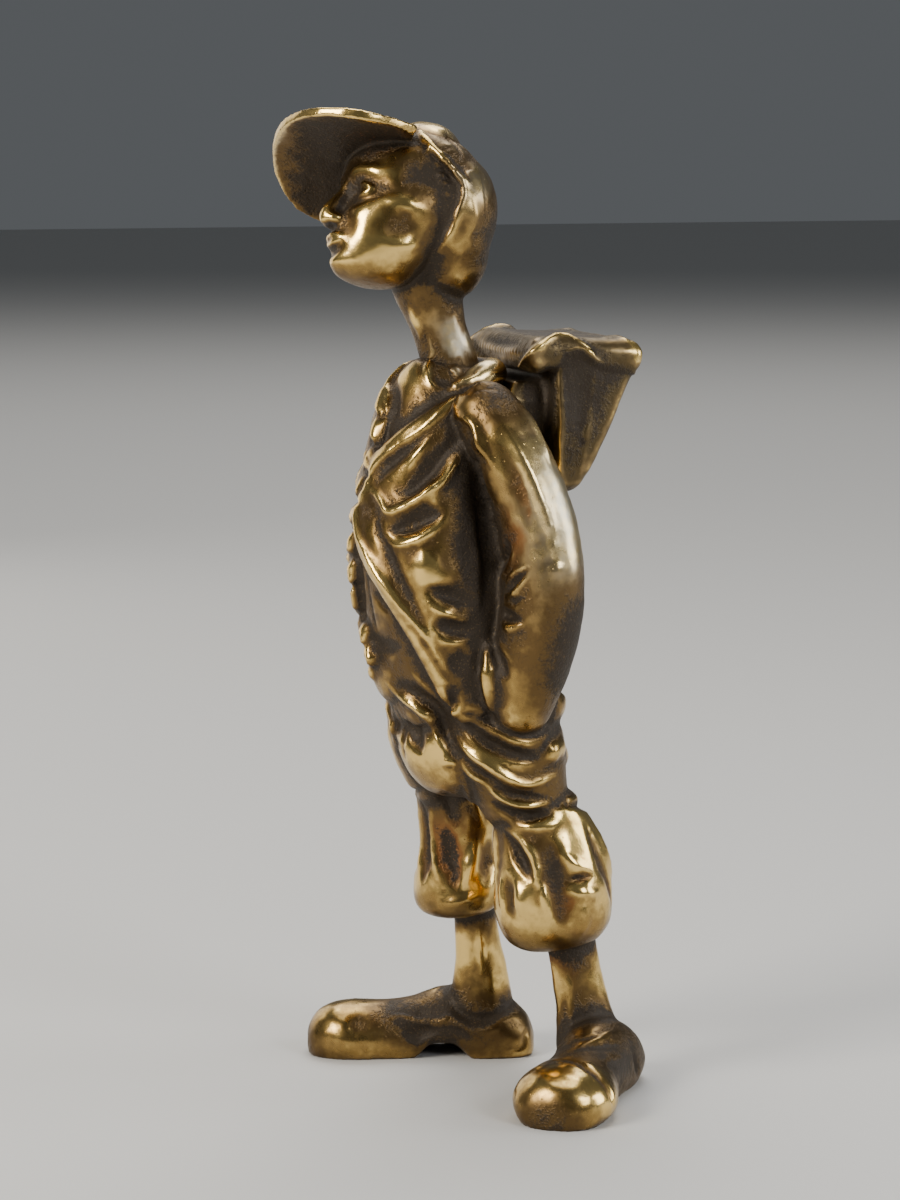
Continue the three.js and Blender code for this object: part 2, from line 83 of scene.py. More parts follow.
studio = {
    "aim": 208.0,                 # height of the lens over the floor, mm
    "away": 760.0,
    "round": 70.0,                # degrees to his left
    "down": 7.7,
    "lens": 106.5,
    "floor": {"wide": 12, "colour": (0.6, 0.59, 0.57), "rough": 0.8},
    "sky": (0.60, 0.64, 0.68),
    "skyStrength": 0.16,
    # name, place in mm about the axis, size mm, watts, colour
    "lights": [
        ("keyWindow", (250, -900, 620), 420, 10.5, (1.0, 0.95, 0.86)),
        ("sideWindow", (820, 420, 560), 380, 4, (0.93, 0.96, 1.0)),
        ("topPanel", (-120, 60, 900), 600, 3, (1.0, 0.98, 0.95)),
        ("farFill", (-800, -300, 300), 700, 2, (1.0, 0.95, 0.88)),
        ("backWindow", (300, 850, 330), 420, 3.2, (0.94, 0.97, 1.0)),
        ("backdrop", (-1500, 550, 2100), 1700, 34, (1.0, 0.99, 0.97)),
    ],
}


def toFrame(x, y, z):
    ax, ay, az = build["axis"]
    return Vector(((x + ax) / 1000, (y + ay) / 1000, (z + az) / 1000))


def clearSelection():
    if bpy.context.object and bpy.context.object.mode != "OBJECT":
        bpy.ops.object.mode_set(mode="OBJECT")
    bpy.ops.object.select_all(action="DESELECT")


def pick(*pieces):
    clearSelection()
    for piece in pieces:
        piece.select_set(True)
    bpy.context.view_layer.objects.active = pieces[-1]


def setStudio():
    turn, tip = radians(studio["round"]), radians(studio["down"])
    away = studio["away"]
    place = toFrame(away * sin(turn), -away * cos(turn), studio["aim"])
    bpy.ops.object.camera_add(location=place, rotation=(pi / 2 - tip, 0, turn))
    camera = bpy.context.object
    camera.data.lens = studio["lens"]
    camera.data.clip_start = 0.01
    bpy.context.scene.camera = camera
    middle = toFrame(0, 0, 100)
    for name, spot, size, watts, colour in studio["lights"]:
        here = toFrame(*spot)
        facing = (here - middle).to_track_quat("Z", "Y").to_euler()
        bpy.ops.object.light_add(type="AREA", location=here, rotation=facing)
        light = bpy.context.object
        light.name = name
        light.data.size = size / 1000
        light.data.energy = watts
        light.data.color = colour
    world = bpy.data.worlds.new("room")
    bpy.context.scene.world = world
    world.use_nodes = True
    sky = world.node_tree.nodes["Background"]
    sky.inputs["Color"].default_value = (*studio["sky"], 1)
    sky.inputs["Strength"].default_value = studio["skyStrength"]
    clearSelection()
    bpy.ops.mesh.primitive_plane_add(size=studio["floor"]["wide"], location=(0, 0, 0))
    floor = bpy.context.object
    floor.name = "floor"
    paint = bpy.data.materials.new("floorPaint")
    paint.use_nodes = True
    skin = paint.node_tree.nodes["Principled BSDF"]
    skin.inputs["Base Color"].default_value = (*studio["floor"]["colour"], 1)
    skin.inputs["Roughness"].default_value = studio["floor"]["rough"]
    floor.data.materials.append(paint)
    print("studio set")


setStudio()


# modelling: rings, balls, cuts and skins

def modify(piece, kind, **settings):
    pick(piece)
    modifier = piece.modifiers.new(kind.lower(), kind)
    for name, value in settings.items():
        setattr(modifier, name, value)
    bpy.ops.object.modifier_apply(modifier=modifier.name)
    return piece


def turnRing(middle, aboutX, aboutY, aboutZ=0.0):
    # with no window, transform.rotate turns the other way
    for angle, axis in ((aboutX, "X"), (aboutY, "Y"), (aboutZ, "Z")):
        if abs(angle) > 1e-6:
            bpy.ops.transform.rotate(value=-angle, orient_axis=axis, center_override=middle)


def editAll():
    bpy.ops.object.mode_set(mode="EDIT")
    bpy.ops.mesh.select_all(action="SELECT")


def editDone():
    bpy.ops.mesh.select_all(action="SELECT")
    bpy.ops.mesh.normals_make_consistent(inside=False)
    bpy.ops.object.mode_set(mode="OBJECT")


def limb(name, rings, around=14, levels=2, lying=False, level=False):
    # each ring is x, y, z, width, depth; lying: the limb runs level, and depth is its height;
    # level: its rings stay flat
    clearSelection()
    swell = 3 / (2 + cos(2 * pi / around)) if levels else 1
    middles = [Vector(ring[:3]) for ring in rings]
    corner = pi / 4 if around == 4 else 0
    radius = 0.5 ** 0.5 if around == 4 else 0.5
    bpy.ops.mesh.primitive_circle_add(vertices=around, radius=radius, fill_type="NGON",
                                      location=middles[0], rotation=(0, 0, corner))
    editAll()
    size, lean = (1, 1), (0, 0, 0)
    for k, (x, y, z, wide, deep) in enumerate(rings):
        here = middles[k]
        if k:
            rise = here - middles[k - 1]
            bpy.ops.mesh.extrude_region_move(TRANSFORM_OT_translate={"value": rise})
            turnRing(here, 0, 0, -lean[2])
            turnRing(here, 0, -lean[1])
            turnRing(here, -lean[0], 0)
        grow = (wide * swell / size[0], deep * swell / size[1], 1)
        bpy.ops.transform.resize(value=grow, center_override=here)
        run = (middles[min(k + 1, len(rings) - 1)] - middles[max(k - 1, 0)]).normalized()
        if lying:
            lean = (pi / 2, 0, atan2(run.x, -run.y))
        elif not level:
            lean = (-asin(run.y), atan2(run.x, run.z), 0)
        turnRing(here, *lean)
        size = (wide * swell, deep * swell)
    editDone()
    shape = settled(name)
    if levels:
        modify(shape, "SUBSURF", levels=levels, render_levels=levels)
    return shape


def boxLimb(name, rings, rounding=0, sharp=0):
    # four-sided, with the edges that are sharper than so many degrees rounded off
    shape = limb(name, rings, around=4, levels=0, level=True)
    if rounding:
        modify(shape, "BEVEL", width=rounding, segments=4, limit_method="ANGLE",
               angle_limit=radians(sharp))
    return shape


def settled(name):
    # the piece in hand gets its name, and its place goes into its mesh
    shape = bpy.context.object
    shape.name = name
    bpy.ops.object.transform_apply(location=True, rotation=True, scale=True)
    return shape


def placed(shape, size=(1, 1, 1), turn=(0, 0, 0), place=(0, 0, 0)):
    shape.scale, shape.rotation_euler, shape.location = size, turn, place
    pick(shape)
    return settled(shape.name)


def ball(name, size, place=(0, 0, 0), fine=32):
    clearSelection()
    bpy.ops.mesh.primitive_uv_sphere_add(segments=fine, ring_count=fine * 2 // 3, radius=0.5)
    return placed(settled(name), size, place=place)


def joined(name, pieces):
    pick(*pieces)
    bpy.ops.object.join()
    whole = bpy.context.object
    whole.name = name
    return whole


def skinned(piece, voxel, smooth):
    modify(piece, "REMESH", mode="VOXEL", voxel_size=voxel)
    return modify(piece, "SMOOTH", factor=0.5, iterations=smooth)


def cutAway(piece, tool):
    modify(piece, "BOOLEAN", operation="DIFFERENCE", object=tool, solver="EXACT")
    bpy.data.objects.remove(tool)
    return piece


def mainShell(piece):
    # keeps the shell that has the highest corner; specks left loose in the armpits go
    pick(piece)
    bpy.ops.object.mode_set(mode="EDIT")
    bpy.ops.mesh.select_all(action="DESELECT")
    bpy.ops.object.mode_set(mode="OBJECT")
    piece.data.vertices[int(corners(piece)[:, 2].argmax())].select = True
    bpy.ops.object.mode_set(mode="EDIT")
    bpy.ops.mesh.select_linked()
    bpy.ops.mesh.select_all(action="INVERT")
    bpy.ops.mesh.delete(type="VERT")
    bpy.ops.object.mode_set(mode="OBJECT")
    return piece


def corners(piece):
    co = np.empty(len(piece.data.vertices) * 3)
    piece.data.vertices.foreach_get("co", co)
    return co.reshape(-1, 3)


def setCorners(piece, co):
    piece.data.vertices.foreach_set("co", co.ravel())
    piece.data.update()


def facings(piece):
    no = np.empty(len(piece.data.vertices) * 3, np.float32)
    piece.data.vertex_normals.foreach_get("vector", no)
    return no.reshape(-1, 3)


def triangles(piece):
    return sum(len(face.vertices) - 2 for face in piece.data.polygons)


# sculpting strokes

def curveThrough(points, step):
    # a smooth line through given points
    p = np.array([points[0], *points, points[-1]], float)
    out = []
    for a, b, c, d in zip(p, p[1:], p[2:], p[3:]):
        n = max(2, int(np.hypot(*(c - b)[:2]) / step))
        t = (np.arange(n) / n)[:, None]
        out.append(0.5 * (2 * b + (c - a) * t + (2 * a - 5 * b + 4 * c - d) * t ** 2
                          + (3 * b - a - 3 * c + d) * t ** 3))
    return np.concatenate([*out, p[-1:]])


profiles = {
    "ridge": lambda d, w: np.exp(-(d / w) ** 2),
    "groove": lambda d, w: -np.exp(-np.abs(d / w) ** 1.6),
    # steep on one side and easy on the other
    "dent": lambda d, w: -np.where(d > 0, np.exp(-(d / (1.5 * w)) ** 2),
                                   np.exp(-np.abs(d / (0.8 * w)) ** 2.4)),
    "broad": lambda d, w: -np.exp(-(d / w) ** 2),
    "slit": lambda d, w: (-np.exp(-np.abs(d / w) ** 1.2)
                          + 0.45 * np.exp(-((np.abs(d) - 1.7 * w) / w) ** 2)),
    # cloth that lies over what is on the right of the line, with a rolled edge
    "edge": lambda d, w: np.where(d > 0, 0.55 * np.exp(-(d / (3.2 * w)) ** 2), 0)
    / (1 + np.exp(-d / (0.16 * w))) + 0.45 * np.exp(-((d - 0.35 * w) / (0.6 * w)) ** 2),
}


def elevation(azimuth):
    # points are (across, up) in mm, seen from an azimuth: 0 is his front, 90 his left
    turn = radians(azimuth)
    toward = Vector((sin(turn), -cos(turn), 0))
    right = Vector((cos(turn), sin(turn), 0))

    def ray(across, up):
        return right * across + Vector((0, 0, up)) + toward * 300, -toward

    return ray


def pictureRays():
    # points are in the pixels of the camera's 900 x 1200 picture
    turn, tip = radians(studio["round"]), radians(studio["down"])
    eye = Vector((sin(turn), -cos(turn), 0)) * studio["away"] + Vector((0, 0, studio["aim"]))
    right = Vector((cos(turn), sin(turn), 0))
    ahead = Vector((-sin(turn) * cos(tip), cos(turn) * cos(tip), -sin(tip)))
    up = right.cross(ahead)
    focus = studio["lens"] / 36 * 1200

    def ray(across, down):
        return eye, (ahead * focus + right * (across - 450) - up * (down - 600)).normalized()

    return ray


cameraRay = pictureRays()


def averager(piece):
    # gives each corner the mean of its neighbours
    ends = np.empty(len(piece.data.edges) * 2, np.int32)
    piece.data.edges.foreach_get("vertices", ends)
    a, b = ends[::2], ends[1::2]
    n = len(piece.data.vertices)
    count = np.maximum(np.bincount(a, minlength=n) + np.bincount(b, minlength=n), 1)[:, None]

    def mean(values):
        columns = [np.bincount(a, v[b], n) + np.bincount(b, v[a], n) for v in values.T]
        return np.stack(columns, 1) / count

    return mean


strokeRules = {
    "step": 0.7,          # between the points laid on the surface, mm
    "pictureStep": 2.2,   # and in pixels of the picture
    "reach": 3.6,         # how far a stroke is felt, in widths
    # share of its length over which each end runs out
    "fade": 0.48, "edgeFade": 0.14,
}


def laidOn(tree, ray, mirror, points, step):
    # the points of the surface, and its facings, that a line of rays meets
    found = []
    for a, b in curveThrough(points, step):
        hit, facing, _, _ = tree.ray_cast(*ray(a, b))
        if hit is not None and mirror:
            hit, facing, _, _ = tree.find_nearest(Vector((-hit.x, hit.y, hit.z)))
        if hit is not None:
            found.append((hit, facing))
    return [np.array(part) for part in zip(*found)] if len(found) > 2 else (None, None)


def carve(piece, *groups, step=strokeRules["step"]):
    # a group is its rays, whether it is laid on his other side, and its strokes;
    # a stroke is kind, width, height and its points, two numbers each
    co, no = corners(piece), facings(piece).astype(float)
    tree = BVHTree.FromPolygons(co.tolist(), [list(face.vertices) for face in piece.data.polygons])
    moved = np.zeros(len(co))
    strokes = [(ray, mirror, *stroke) for ray, mirror, group in groups for stroke in group]
    for ray, mirror, kind, wide, high, *points in strokes:
        line, facing = laidOn(tree, ray, mirror, list(zip(points[::2], points[1::2])),
                              strokeRules["pictureStep"] if ray is cameraRay else step)
        if line is None:
            continue
        reach = strokeRules["reach"] * wide
        lo, hi = line.min(0) - reach, line.max(0) + reach
        near = np.nonzero(((co > lo) & (co < hi)).all(1))[0]
        if not len(near):
            continue
        along = np.gradient(line, axis=0)
        along /= np.maximum(np.linalg.norm(along, axis=1), 1e-6)[:, None]
        gap = ((co[near][:, None, :] - line[None]) ** 2).sum(2)
        k = gap.argmin(1)
        off = co[near] - line[k]
        lean = facing[k]
        side = np.sign((np.cross(along[k], off) * lean).sum(1)) * (-1 if mirror else 1)
        d = np.sqrt(gap[np.arange(len(k)), k]) * side
        run = np.concatenate([[0], np.cumsum(np.linalg.norm(np.diff(line, axis=0), axis=1))])
        end = np.minimum(run, run[-1] - run)[k]
        # folds are widest and deepest in the middle and run out to a point
        fade = strokeRules["edgeFade" if kind == "edge" else "fade"]
        taper = np.clip(end / max(fade * run[-1], 1.2 * wide), 0, 1)
        taper = taper * (1.6 - 0.6 * taper)
        same = np.clip((no[near] * lean).sum(1) / 0.4, 0, 1)
        moved[near] += high * taper * same * profiles[kind](d, wide * (0.3 + 0.7 * taper))
    setCorners(piece, co + no * moved[:, None])
    relax(piece, np.clip(np.abs(moved) * 4, 0, 1), 2)
    return piece


def relax(piece, share, rounds):
    co, mean = corners(piece), averager(piece)
    for _ in range(rounds):
        co += 0.5 * share[:, None] * (mean(co) - co)
    setCorners(piece, co)


# the casting's body: clothes and limbs, as x, y, z, width and depth of each ring in mm

body = {
    "cloth": 1.9,
    "torso": [(0, 4.5, 78, 38, 35), (0, 2.5, 88, 40, 36), (0, -1, 97, 41, 34.5),
              (0, -3.1, 107, 42.5, 36), (0, -3.3, 117, 41.5, 37.5), (0, -2.7, 127, 38.5, 35.5),
              (0, -2.3, 137, 35, 32), (0, -2.8, 146, 30, 27.5), (0, -3, 152.5, 23, 22.5),
              (0, -2, 158, 14, 15)],
    # height, right edge and left edge of the openings above and below the one button
    "collarOpening": [(129.5, -3, -2), (137.7, 1.5, 4.7), (143, 0.8, 11), (150, -4.5, 13),
                      (165, -6, 13)],
    "skirtOpening": [(124.5, -4.6, -3.6), (116, -5.2, 5), (110, -5.7, 11), (100, -8, 15),
                     (92, -10.3, 16.5), (84, -12.5, 16.5), (68, -14, 16.5)],
    "leftEdge": [(13, 150), (11, 143), (4.5, 137.5), (-2, 131), (-3.5, 124), (5, 116), (11, 110),
                 (15, 100), (16.5, 92), (16.5, 85)],
    "rightEdge": [(-5.5, 152), (0, 145), (1.5, 138), (-2, 129), (-5, 123), (-5.5, 112), (-7, 103),
                  (-10, 93), (-12.5, 84)],
    "sleeve": [(12, 0.5, 150, 12, 12), (18, 2.5, 147, 14, 14.5), (22.5, 5.2, 139, 15.5, 16),
               (24.2, 9.8, 128, 18.5, 16), (25.6, 12, 117, 20, 16.5),
               (25.2, 11.8, 106, 20.5, 17.5), (23.2, 10.2, 95, 19.5, 16.5), (21, 8.5, 87, 16, 14),
               (19, 8.5, 79, 10, 11)],
    "seat": [(0, 7, 62, 24, 22), (0, 6, 71, 35, 33), (0, 5, 78, 36, 33), (0, 3, 86, 30, 27)],
    "leftThigh": [(9.5, 5.5, 88, 18, 20), (10.3, 7.8, 79, 24, 26), (11, 10.3, 71, 23.5, 25),
                  (11.5, 12.3, 65, 19.5, 19.5), (12, 14.2, 58, 18.6, 18.8)],
    "rightThigh": [(-9, 2, 89, 17, 20), (-9.8, 1.2, 80, 24, 26), (-10.5, 2, 73, 23, 24),
                   (-11, 4, 67, 19.5, 21), (-11.5, 6, 58, 17, 17)],
    "leftPuff": [(12, 14.4, 64, 18.5, 18.5), (12.5, 16.2, 58, 19.5, 20),
                 (13, 17.8, 52.5, 22, 22.5), (13.5, 18.6, 47, 24.4, 25.4),
                 (13.8, 18.8, 41.5, 25.2, 26.4), (14, 18.8, 36, 24, 25.2),
                 (14.2, 19, 32.2, 20.5, 21), (14.3, 19.2, 30.2, 13, 14)],
    "rightPuff": [(-11.2, 5.4, 66, 19, 19), (-11.8, 6.2, 59, 17.8, 17.6),
                  (-12.2, 6.6, 52, 17.6, 17), (-12.6, 6.6, 45, 19.8, 18),
                  (-13, 6.6, 39.5, 22, 20.2), (-13.2, 6.9, 35.4, 21.4, 20),
                  (-13.3, 7.2, 33.2, 14, 13.4)],
    "leftShin": [(14, 21.5, 38, 7, 11), (14.6, 23.2, 28, 7, 11), (15.5, 24.6, 19, 7.2, 11.5),
                 (16, 26.3, 10, 9, 14.5), (16, 27, 4, 10, 16)],
    "rightShin": [(-13, 9.5, 44, 8, 9.5), (-13.4, 11, 30, 8, 9.5), (-14, 12.4, 21, 8.5, 11.5),
                  (-14.5, 12.6, 13, 11, 14.5), (-14.6, 12.8, 4, 13, 17)],
    "cuff": [(21.3, 1.6, 100, 2, 2), (22.3, 0.4, 95.5, 3.6, 3.2), (22.7, 0.1, 91, 4, 3.6),
             (22, 1.2, 87, 3.6, 3.2), (20.6, 2.4, 83.5, 2, 2)],
    "bulges": [
        # cloth that bulges over the hip behind the sleeve, and the seat under it
        ("hem", (18, 14, 12), (12.6, 14.2, 84)), ("seat", (17, 12, 11), (13.4, 14.8, 74.6)),
        # belly, and the knot of the belt over it
        ("belly", (21, 11, 21), (-3, -11, 93)), ("knot", (5.4, 4.6, 5), (-3.8, -17.2, 98.6)),
        ("knot", (5.4, 5, 5.6), (-2.6, -16.3, 94.2)), ("knot", (4, 3.8, 4.4), (-4.4, -15.4, 90)),
    ],
    "collar": {"radius": 10, "thick": 3.2, "height": 152, "sweep": 250, "start": 215},
    "shoe": {"long": 52, "wide": 20, "toeHigh": 12, "instepHigh": 15, "toeCap": 0.6},
    # x, y, degrees turned out, and how wide the toe cap is
    "heels": {"left": (8.5, 36, 52, 1.12), "right": (-12, 25, -20, 1.0)},
    "arch": {"place": (-12, 3.2), "spread": (11, 4.6), "rise": 3.4, "high": 8},
    "sole": 0.4,          # what lies lower is pressed flat
    "dents": [(7.0, 0.5), (2.6, 0.12)],
}


def jacketFront(x, z):
    # how far forward the jacket is at a point of the front elevation
    rows = body["torso"]
    k = next((i for i, row in enumerate(rows) if row[2] > z), len(rows) - 1)
    low, high = np.array(rows[k - 1]), np.array(rows[k])
    _, y, _, wide, deep = low + (high - low) * (z - low[2]) / (high[2] - low[2])
    return y - deep / 2 * max(1 - (2 * x / wide) ** 2, 0) ** 0.5


def opening(name, rows):
    # a block that cuts the front of the jacket between two edges
    rings = [((right + left) / 2, -22, z, left - right, 40) for z, right, left in rows]
    return boxLimb(name, rings)


def edgeRoll(name, path, width):
    rings = [(x, jacketFront(x, z) + width / 4, z, width, width) for x, z in path]
    return limb(name, rings, around=10)


def mirroredRings(rings):
    return [(-x, y, z, wide, deep) for x, y, z, wide, deep in rings]


def collarRoll():
    # a soft roll round the neck, open at the throat and lower at the front
    collar = body["collar"]
    clearSelection()
    bpy.ops.mesh.primitive_circle_add(
        vertices=14, radius=collar["thick"], fill_type="NGON",
        location=(collar["radius"], 0, collar["height"]), rotation=(pi / 2, 0, 0))
    editAll()
    bpy.ops.mesh.spin(steps=26, angle=radians(collar["sweep"]), center=(0, 0, collar["height"]),
                      axis=(0, 0, 1))
    editDone()
    shape = placed(settled("collar"), (0.98, 0.8, 1), (0, 0, radians(collar["start"])))

    def drop(co):
        # towards the throat it hangs lower and wider
        front = np.clip((0.6 - co[:, 1] / np.hypot(co[:, 0], co[:, 1])) / 1.2, 0, 1)
        front = front ** 2 * (3 - 2 * front)
        return np.stack([0.14 * front * co[:, 0], 0 * front, 2.5 - 5.5 * front], 1)

    return pushed(shape, drop)


def shoe(side):
    form = body["shoe"]
    long, wide, toe, instep = form["long"], form["wide"], form["toeHigh"], form["instepHigh"]
    x, y, out, spread = body["heels"][side]
    # from heel to toe: share of the length, of the width, and height
    rows = [(0.005, 0.42, instep * 0.42), (0.06, 0.76, instep * 0.68), (0.16, 0.9, instep * 0.95),
            (0.3, 0.88, instep * 1.02), (0.44, 0.78, instep), (0.56, 0.8, toe * 0.98),
            (0.7, 0.98, toe * 0.96), (0.84, 1, toe), (0.94, 0.76, toe * 0.84),
            (0.995, 0.4, toe * 0.5)]
    # the rings hang under the floor, where they are cut off
    rings = [(0, -share * long, high * 0.36,
              w * wide * (spread if share > form["toeCap"] else 1), high * 1.28)
             for share, w, high in rows]
    shape = limb(side + "Shoe", rings, around=16, lying=True)
    placed(shape, turn=(0, 0, radians(out)), place=(x, y, 0))
    editAll()
    bpy.ops.mesh.bisect(plane_co=(0, 0, 0), plane_no=(0, 0, 1), clear_inner=True, use_fill=True)
    bpy.ops.object.mode_set(mode="OBJECT")
    return shape


def makeBody():
    jacket = limb("jacket", body["torso"], around=20)
    cutAway(jacket, opening("collarOpening", body["collarOpening"]))
    cutAway(jacket, opening("skirtOpening", body["skirtOpening"]))
    thin = 2 * body["cloth"]
    shirt = [(x, y, z, wide - thin, deep - thin) for x, y, z, wide, deep in body["torso"]]
    pieces = [
        jacket,
        limb("shirt", shirt, around=16),
        edgeRoll("leftEdge", body["leftEdge"], 4.4),
        edgeRoll("rightEdge", body["rightEdge"], 4.0),
        limb("leftSleeve", body["sleeve"]),
        limb("leftCuff", body["cuff"], around=10),
        limb("rightSleeve", mirroredRings(body["sleeve"])),
        limb("rightCuff", mirroredRings(body["cuff"]), around=10),
        collarRoll(),
        *[ball(*bulge) for bulge in body["bulges"]],
        shoe("left"),
        shoe("right"),
    ]
    for name in ("seat", "leftThigh", "rightThigh", "leftPuff", "rightPuff", "leftShin",
                 "rightShin"):
        pieces.append(limb(name, body[name]))
    return skinned(joined("body", pieces), build["voxel"], 6)


# the head and its cap, in the head's own frame: face to -Y, eye line at zero

head = {
    "skull": [(0, -7.6, -18.0, 6, 7), (0, -7.2, -16.6, 12.4, 15.2), (0, -6.0, -14, 16.8, 18.6),
              (0, -4.9, -11, 20.2, 21), (0, -3.6, -8, 22.8, 23.6), (0, -1.6, -4, 25.4, 27.6),
              (0, -0.2, 0, 27, 30.6), (0, 0.3, 4, 28, 32.4), (0, 0.3, 9, 27.4, 31.4),
              (0, 0.4, 13, 23.4, 27), (0, 0.5, 16, 16, 19), (0, 0.5, 17.8, 5, 6)],
    # degrees: chin up, left side up, to the left
    "centre": (-0.8, -8.5, 188), "lean": (18, 17, 4),
    "crown": {"size": (32, 32.5, 36), "centre": (-2, -8.2, 188.9), "lean": (52, 20, 0), "rim": 6.5,
              "rollHigh": 30},
    "peak": {"wide": 38.5, "reach": 27.6, "root": 12, "thick": 2.0, "droop": 0.015,
             "centre": (-3.2, -9.7, 199.8), "lean": (13, 35.5, 0)},
    "neck": [(0, 1.5, 148, 16, 16), (0, 0.6, 154, 12.6, 12.6), (0, -1.2, 160, 11, 11.2),
             (0, -3.2, 166, 11.4, 12), (-0.3, -4.6, 171, 13, 14.5), (-0.8, -5.8, 179, 17, 19)],
    "eye": {"across": 5.7, "up": -0.5, "back": -10.9, "size": 6.2},
    "nose": [(0, -14.4, 4.2, 3.0, 2.4), (0, -15.6, 1.0, 2.5, 3.0), (0, -16.8, -2.2, 2.9, 3.7),
             (0, -18.0, -5.0, 3.7, 4.2), (0, -18.0, -6.4, 3.9, 3.7), (0, -16.9, -7.6, 2.6, 2.4)],
    "mouth": {"front": -16.4, "up": -10.5},
    # place across and up, spread across and up, and how far forward
    "features": [
        (0, -9.8, 5.2, 3.2, 1.0), (0, -15.4, 3.6, 2.4, 0.8), (0, -12.9, 3.4, 1.0, -0.7),
        (0, 1.2, 1.6, 2.0, -0.3), (5.7, -0.3, 3.7, 2.3, -1.9), (5.2, 4.3, 3.4, 1.2, 0.75),
        (8.8, 3.6, 2.4, 1.3, 0.6), (7.4, -5.2, 3.2, 3.0, 0.9), (5.0, -8.6, 1.4, 2.6, -0.35),
        (9.4, -11.5, 3.0, 3.0, 0.3),
    ],
    # temple, cheekbone, hollow of the cheek and corner of the jaw:
    # place along and up, spread along and up, and how far outward
    "sides": [(-4.5, 4.5, 3.6, 3.4, -1.3), (-7.0, -2.6, 3.4, 1.5, 0.7),
              (-5.2, -7.6, 3.4, 2.6, -0.9), (-2.2, -11.5, 3.2, 2.4, 0.6)],
    # the back of the cap, down over the ears to the nape, and its top behind the peak
    "capBack": [((20, 17, 16), (-5, -4.2, 199.8)), ((29.5, 23, 27), (-1.2, -1.4, 189)),
                ((28, 20.5, 26), (-1, -1.6, 184.5)),
                ((24, 19, 22), (-0.8, -1.2, 180.4))],
}


def leaned(shape, centre, lean):
    pitch, roll, turn = (radians(angle) for angle in lean)
    return placed(shape, turn=(-pitch, -roll, turn), place=centre)


def pushed(shape, move):
    # move takes the corners and gives how far each goes
    co = corners(shape)
    setCorners(shape, co + move(co))
    return shape


def bump(co, middle, spread):
    # 1 at the middle, falling away over the spread along each axis
    return np.exp(-(((co - np.array(middle)) / np.array(spread)) ** 2).sum(1))


def arcOver(side, rise, swell, thick):
    # a lid: a thin roll over the eyeball, from its inner corner to its outer one
    eye = head["eye"]
    rings = []
    for k in range(9):
        share = k / 8
        x = -3.1 + 6.3 * share
        z = rise * sin(pi * share) ** 0.8 + 0.35 * (share - 0.4)
        out = max((eye["size"] / 2 + swell) ** 2 - x ** 2 - z ** 2, 0.4) ** 0.5
        width = thick * (0.55 + 0.45 * sin(pi * share))
        rings.append((side * (eye["across"] + x), eye["back"] - out, eye["up"] + z, width, width))
    return limb("lid", rings, around=8, levels=1)


def faceMass():
    # skull and jaw in one, then the features pushed up or pressed in
    wings = [ball("wing", (2.6, 3.6, 2.6), (side * 1.9, -16.5, -6.5)) for side in (-1, 1)]
    mass = skinned(joined("face", [limb("skull", head["skull"], around=20, level=True),
                                   limb("nose", head["nose"], around=12), *wings]), 0.45, 4)

    def moulded(co):
        x, y, z = co.T
        out = np.zeros_like(co)
        front = np.clip(-y / 7, 0, 1)
        flank = np.clip(np.abs(x) / 7 - 0.4, 0, 1) * np.sign(x)
        for back, up, along, tall, outward in head["sides"]:
            rise = np.exp(-((y - back) / along) ** 2 - ((z - up) / tall) ** 2)
            out[:, 0] += outward * flank * rise
        for across, up, wide, tall, forward in head["features"]:
            for side in {-1, 1} if across else {1}:
                rise = np.exp(-((x - side * across) / wide) ** 2 - ((z - up) / tall) ** 2)
                out[:, 1] -= forward * front * rise
        return out

    return pushed(mass, moulded)


def faceForms():
    eye = head["eye"]
    forms = [faceMass()]
    for side in (-1, 1):
        forms += [
            ball("eyeball", (eye["size"],) * 3, (side * eye["across"], eye["back"], eye["up"])),
            arcOver(side, 1.75, 0.32, 1.0),
            arcOver(side, -1.3, 0.22, 0.8),
        ]
    mouth = head["mouth"]
    upper = [(0.9, 0.35, 0.55, 1.0), (2.5, -0.1, 0.15, 0.9), (4.3, -1.25, -0.3, 0.35)]
    lower = [(0, 0, -1.05, 1.2), (2.1, -0.3, -0.9, 0.95), (4.0, -1.3, -0.45, 0.35)]
    for rows, dip in ((upper, [(0, 0.3, 0.4, 0.9)]), (lower, [])):
        half = [(x, mouth["front"] - out, mouth["up"] + z, 1.5 * w, 1.5 * w)
                for x, out, z, w in dip + rows]
        forms.append(limb("lip", mirroredRings(half[:0:-1]) + half, around=8))
    return forms


def capCrown():
    # a ball squashed flat under its rim
    crown = head["crown"]
    rim, tall = crown["rim"], crown["rollHigh"]
    bowl = ball("crown", crown["size"], fine=96)
    pushed(bowl, lambda co: np.outer(0.92 * np.clip(rim - co[:, 2], 0, None), (0, 0, 1)))
    # the band is turned up into a roll along the rim
    clearSelection()
    bpy.ops.mesh.primitive_torus_add(major_segments=64, minor_segments=12, major_radius=0.5,
                                     minor_radius=0.033, location=(0, 0, rim))
    wide, deep, high = crown["size"]
    narrow = (1 - (2 * rim / high) ** 2) ** 0.5
    roll = placed(settled("roll"), (wide * narrow, deep * narrow, tall),
                  place=(0, 0, rim * (1 - tall)))
    return leaned(joined("crown", [bowl, roll]), crown["centre"], crown["lean"])


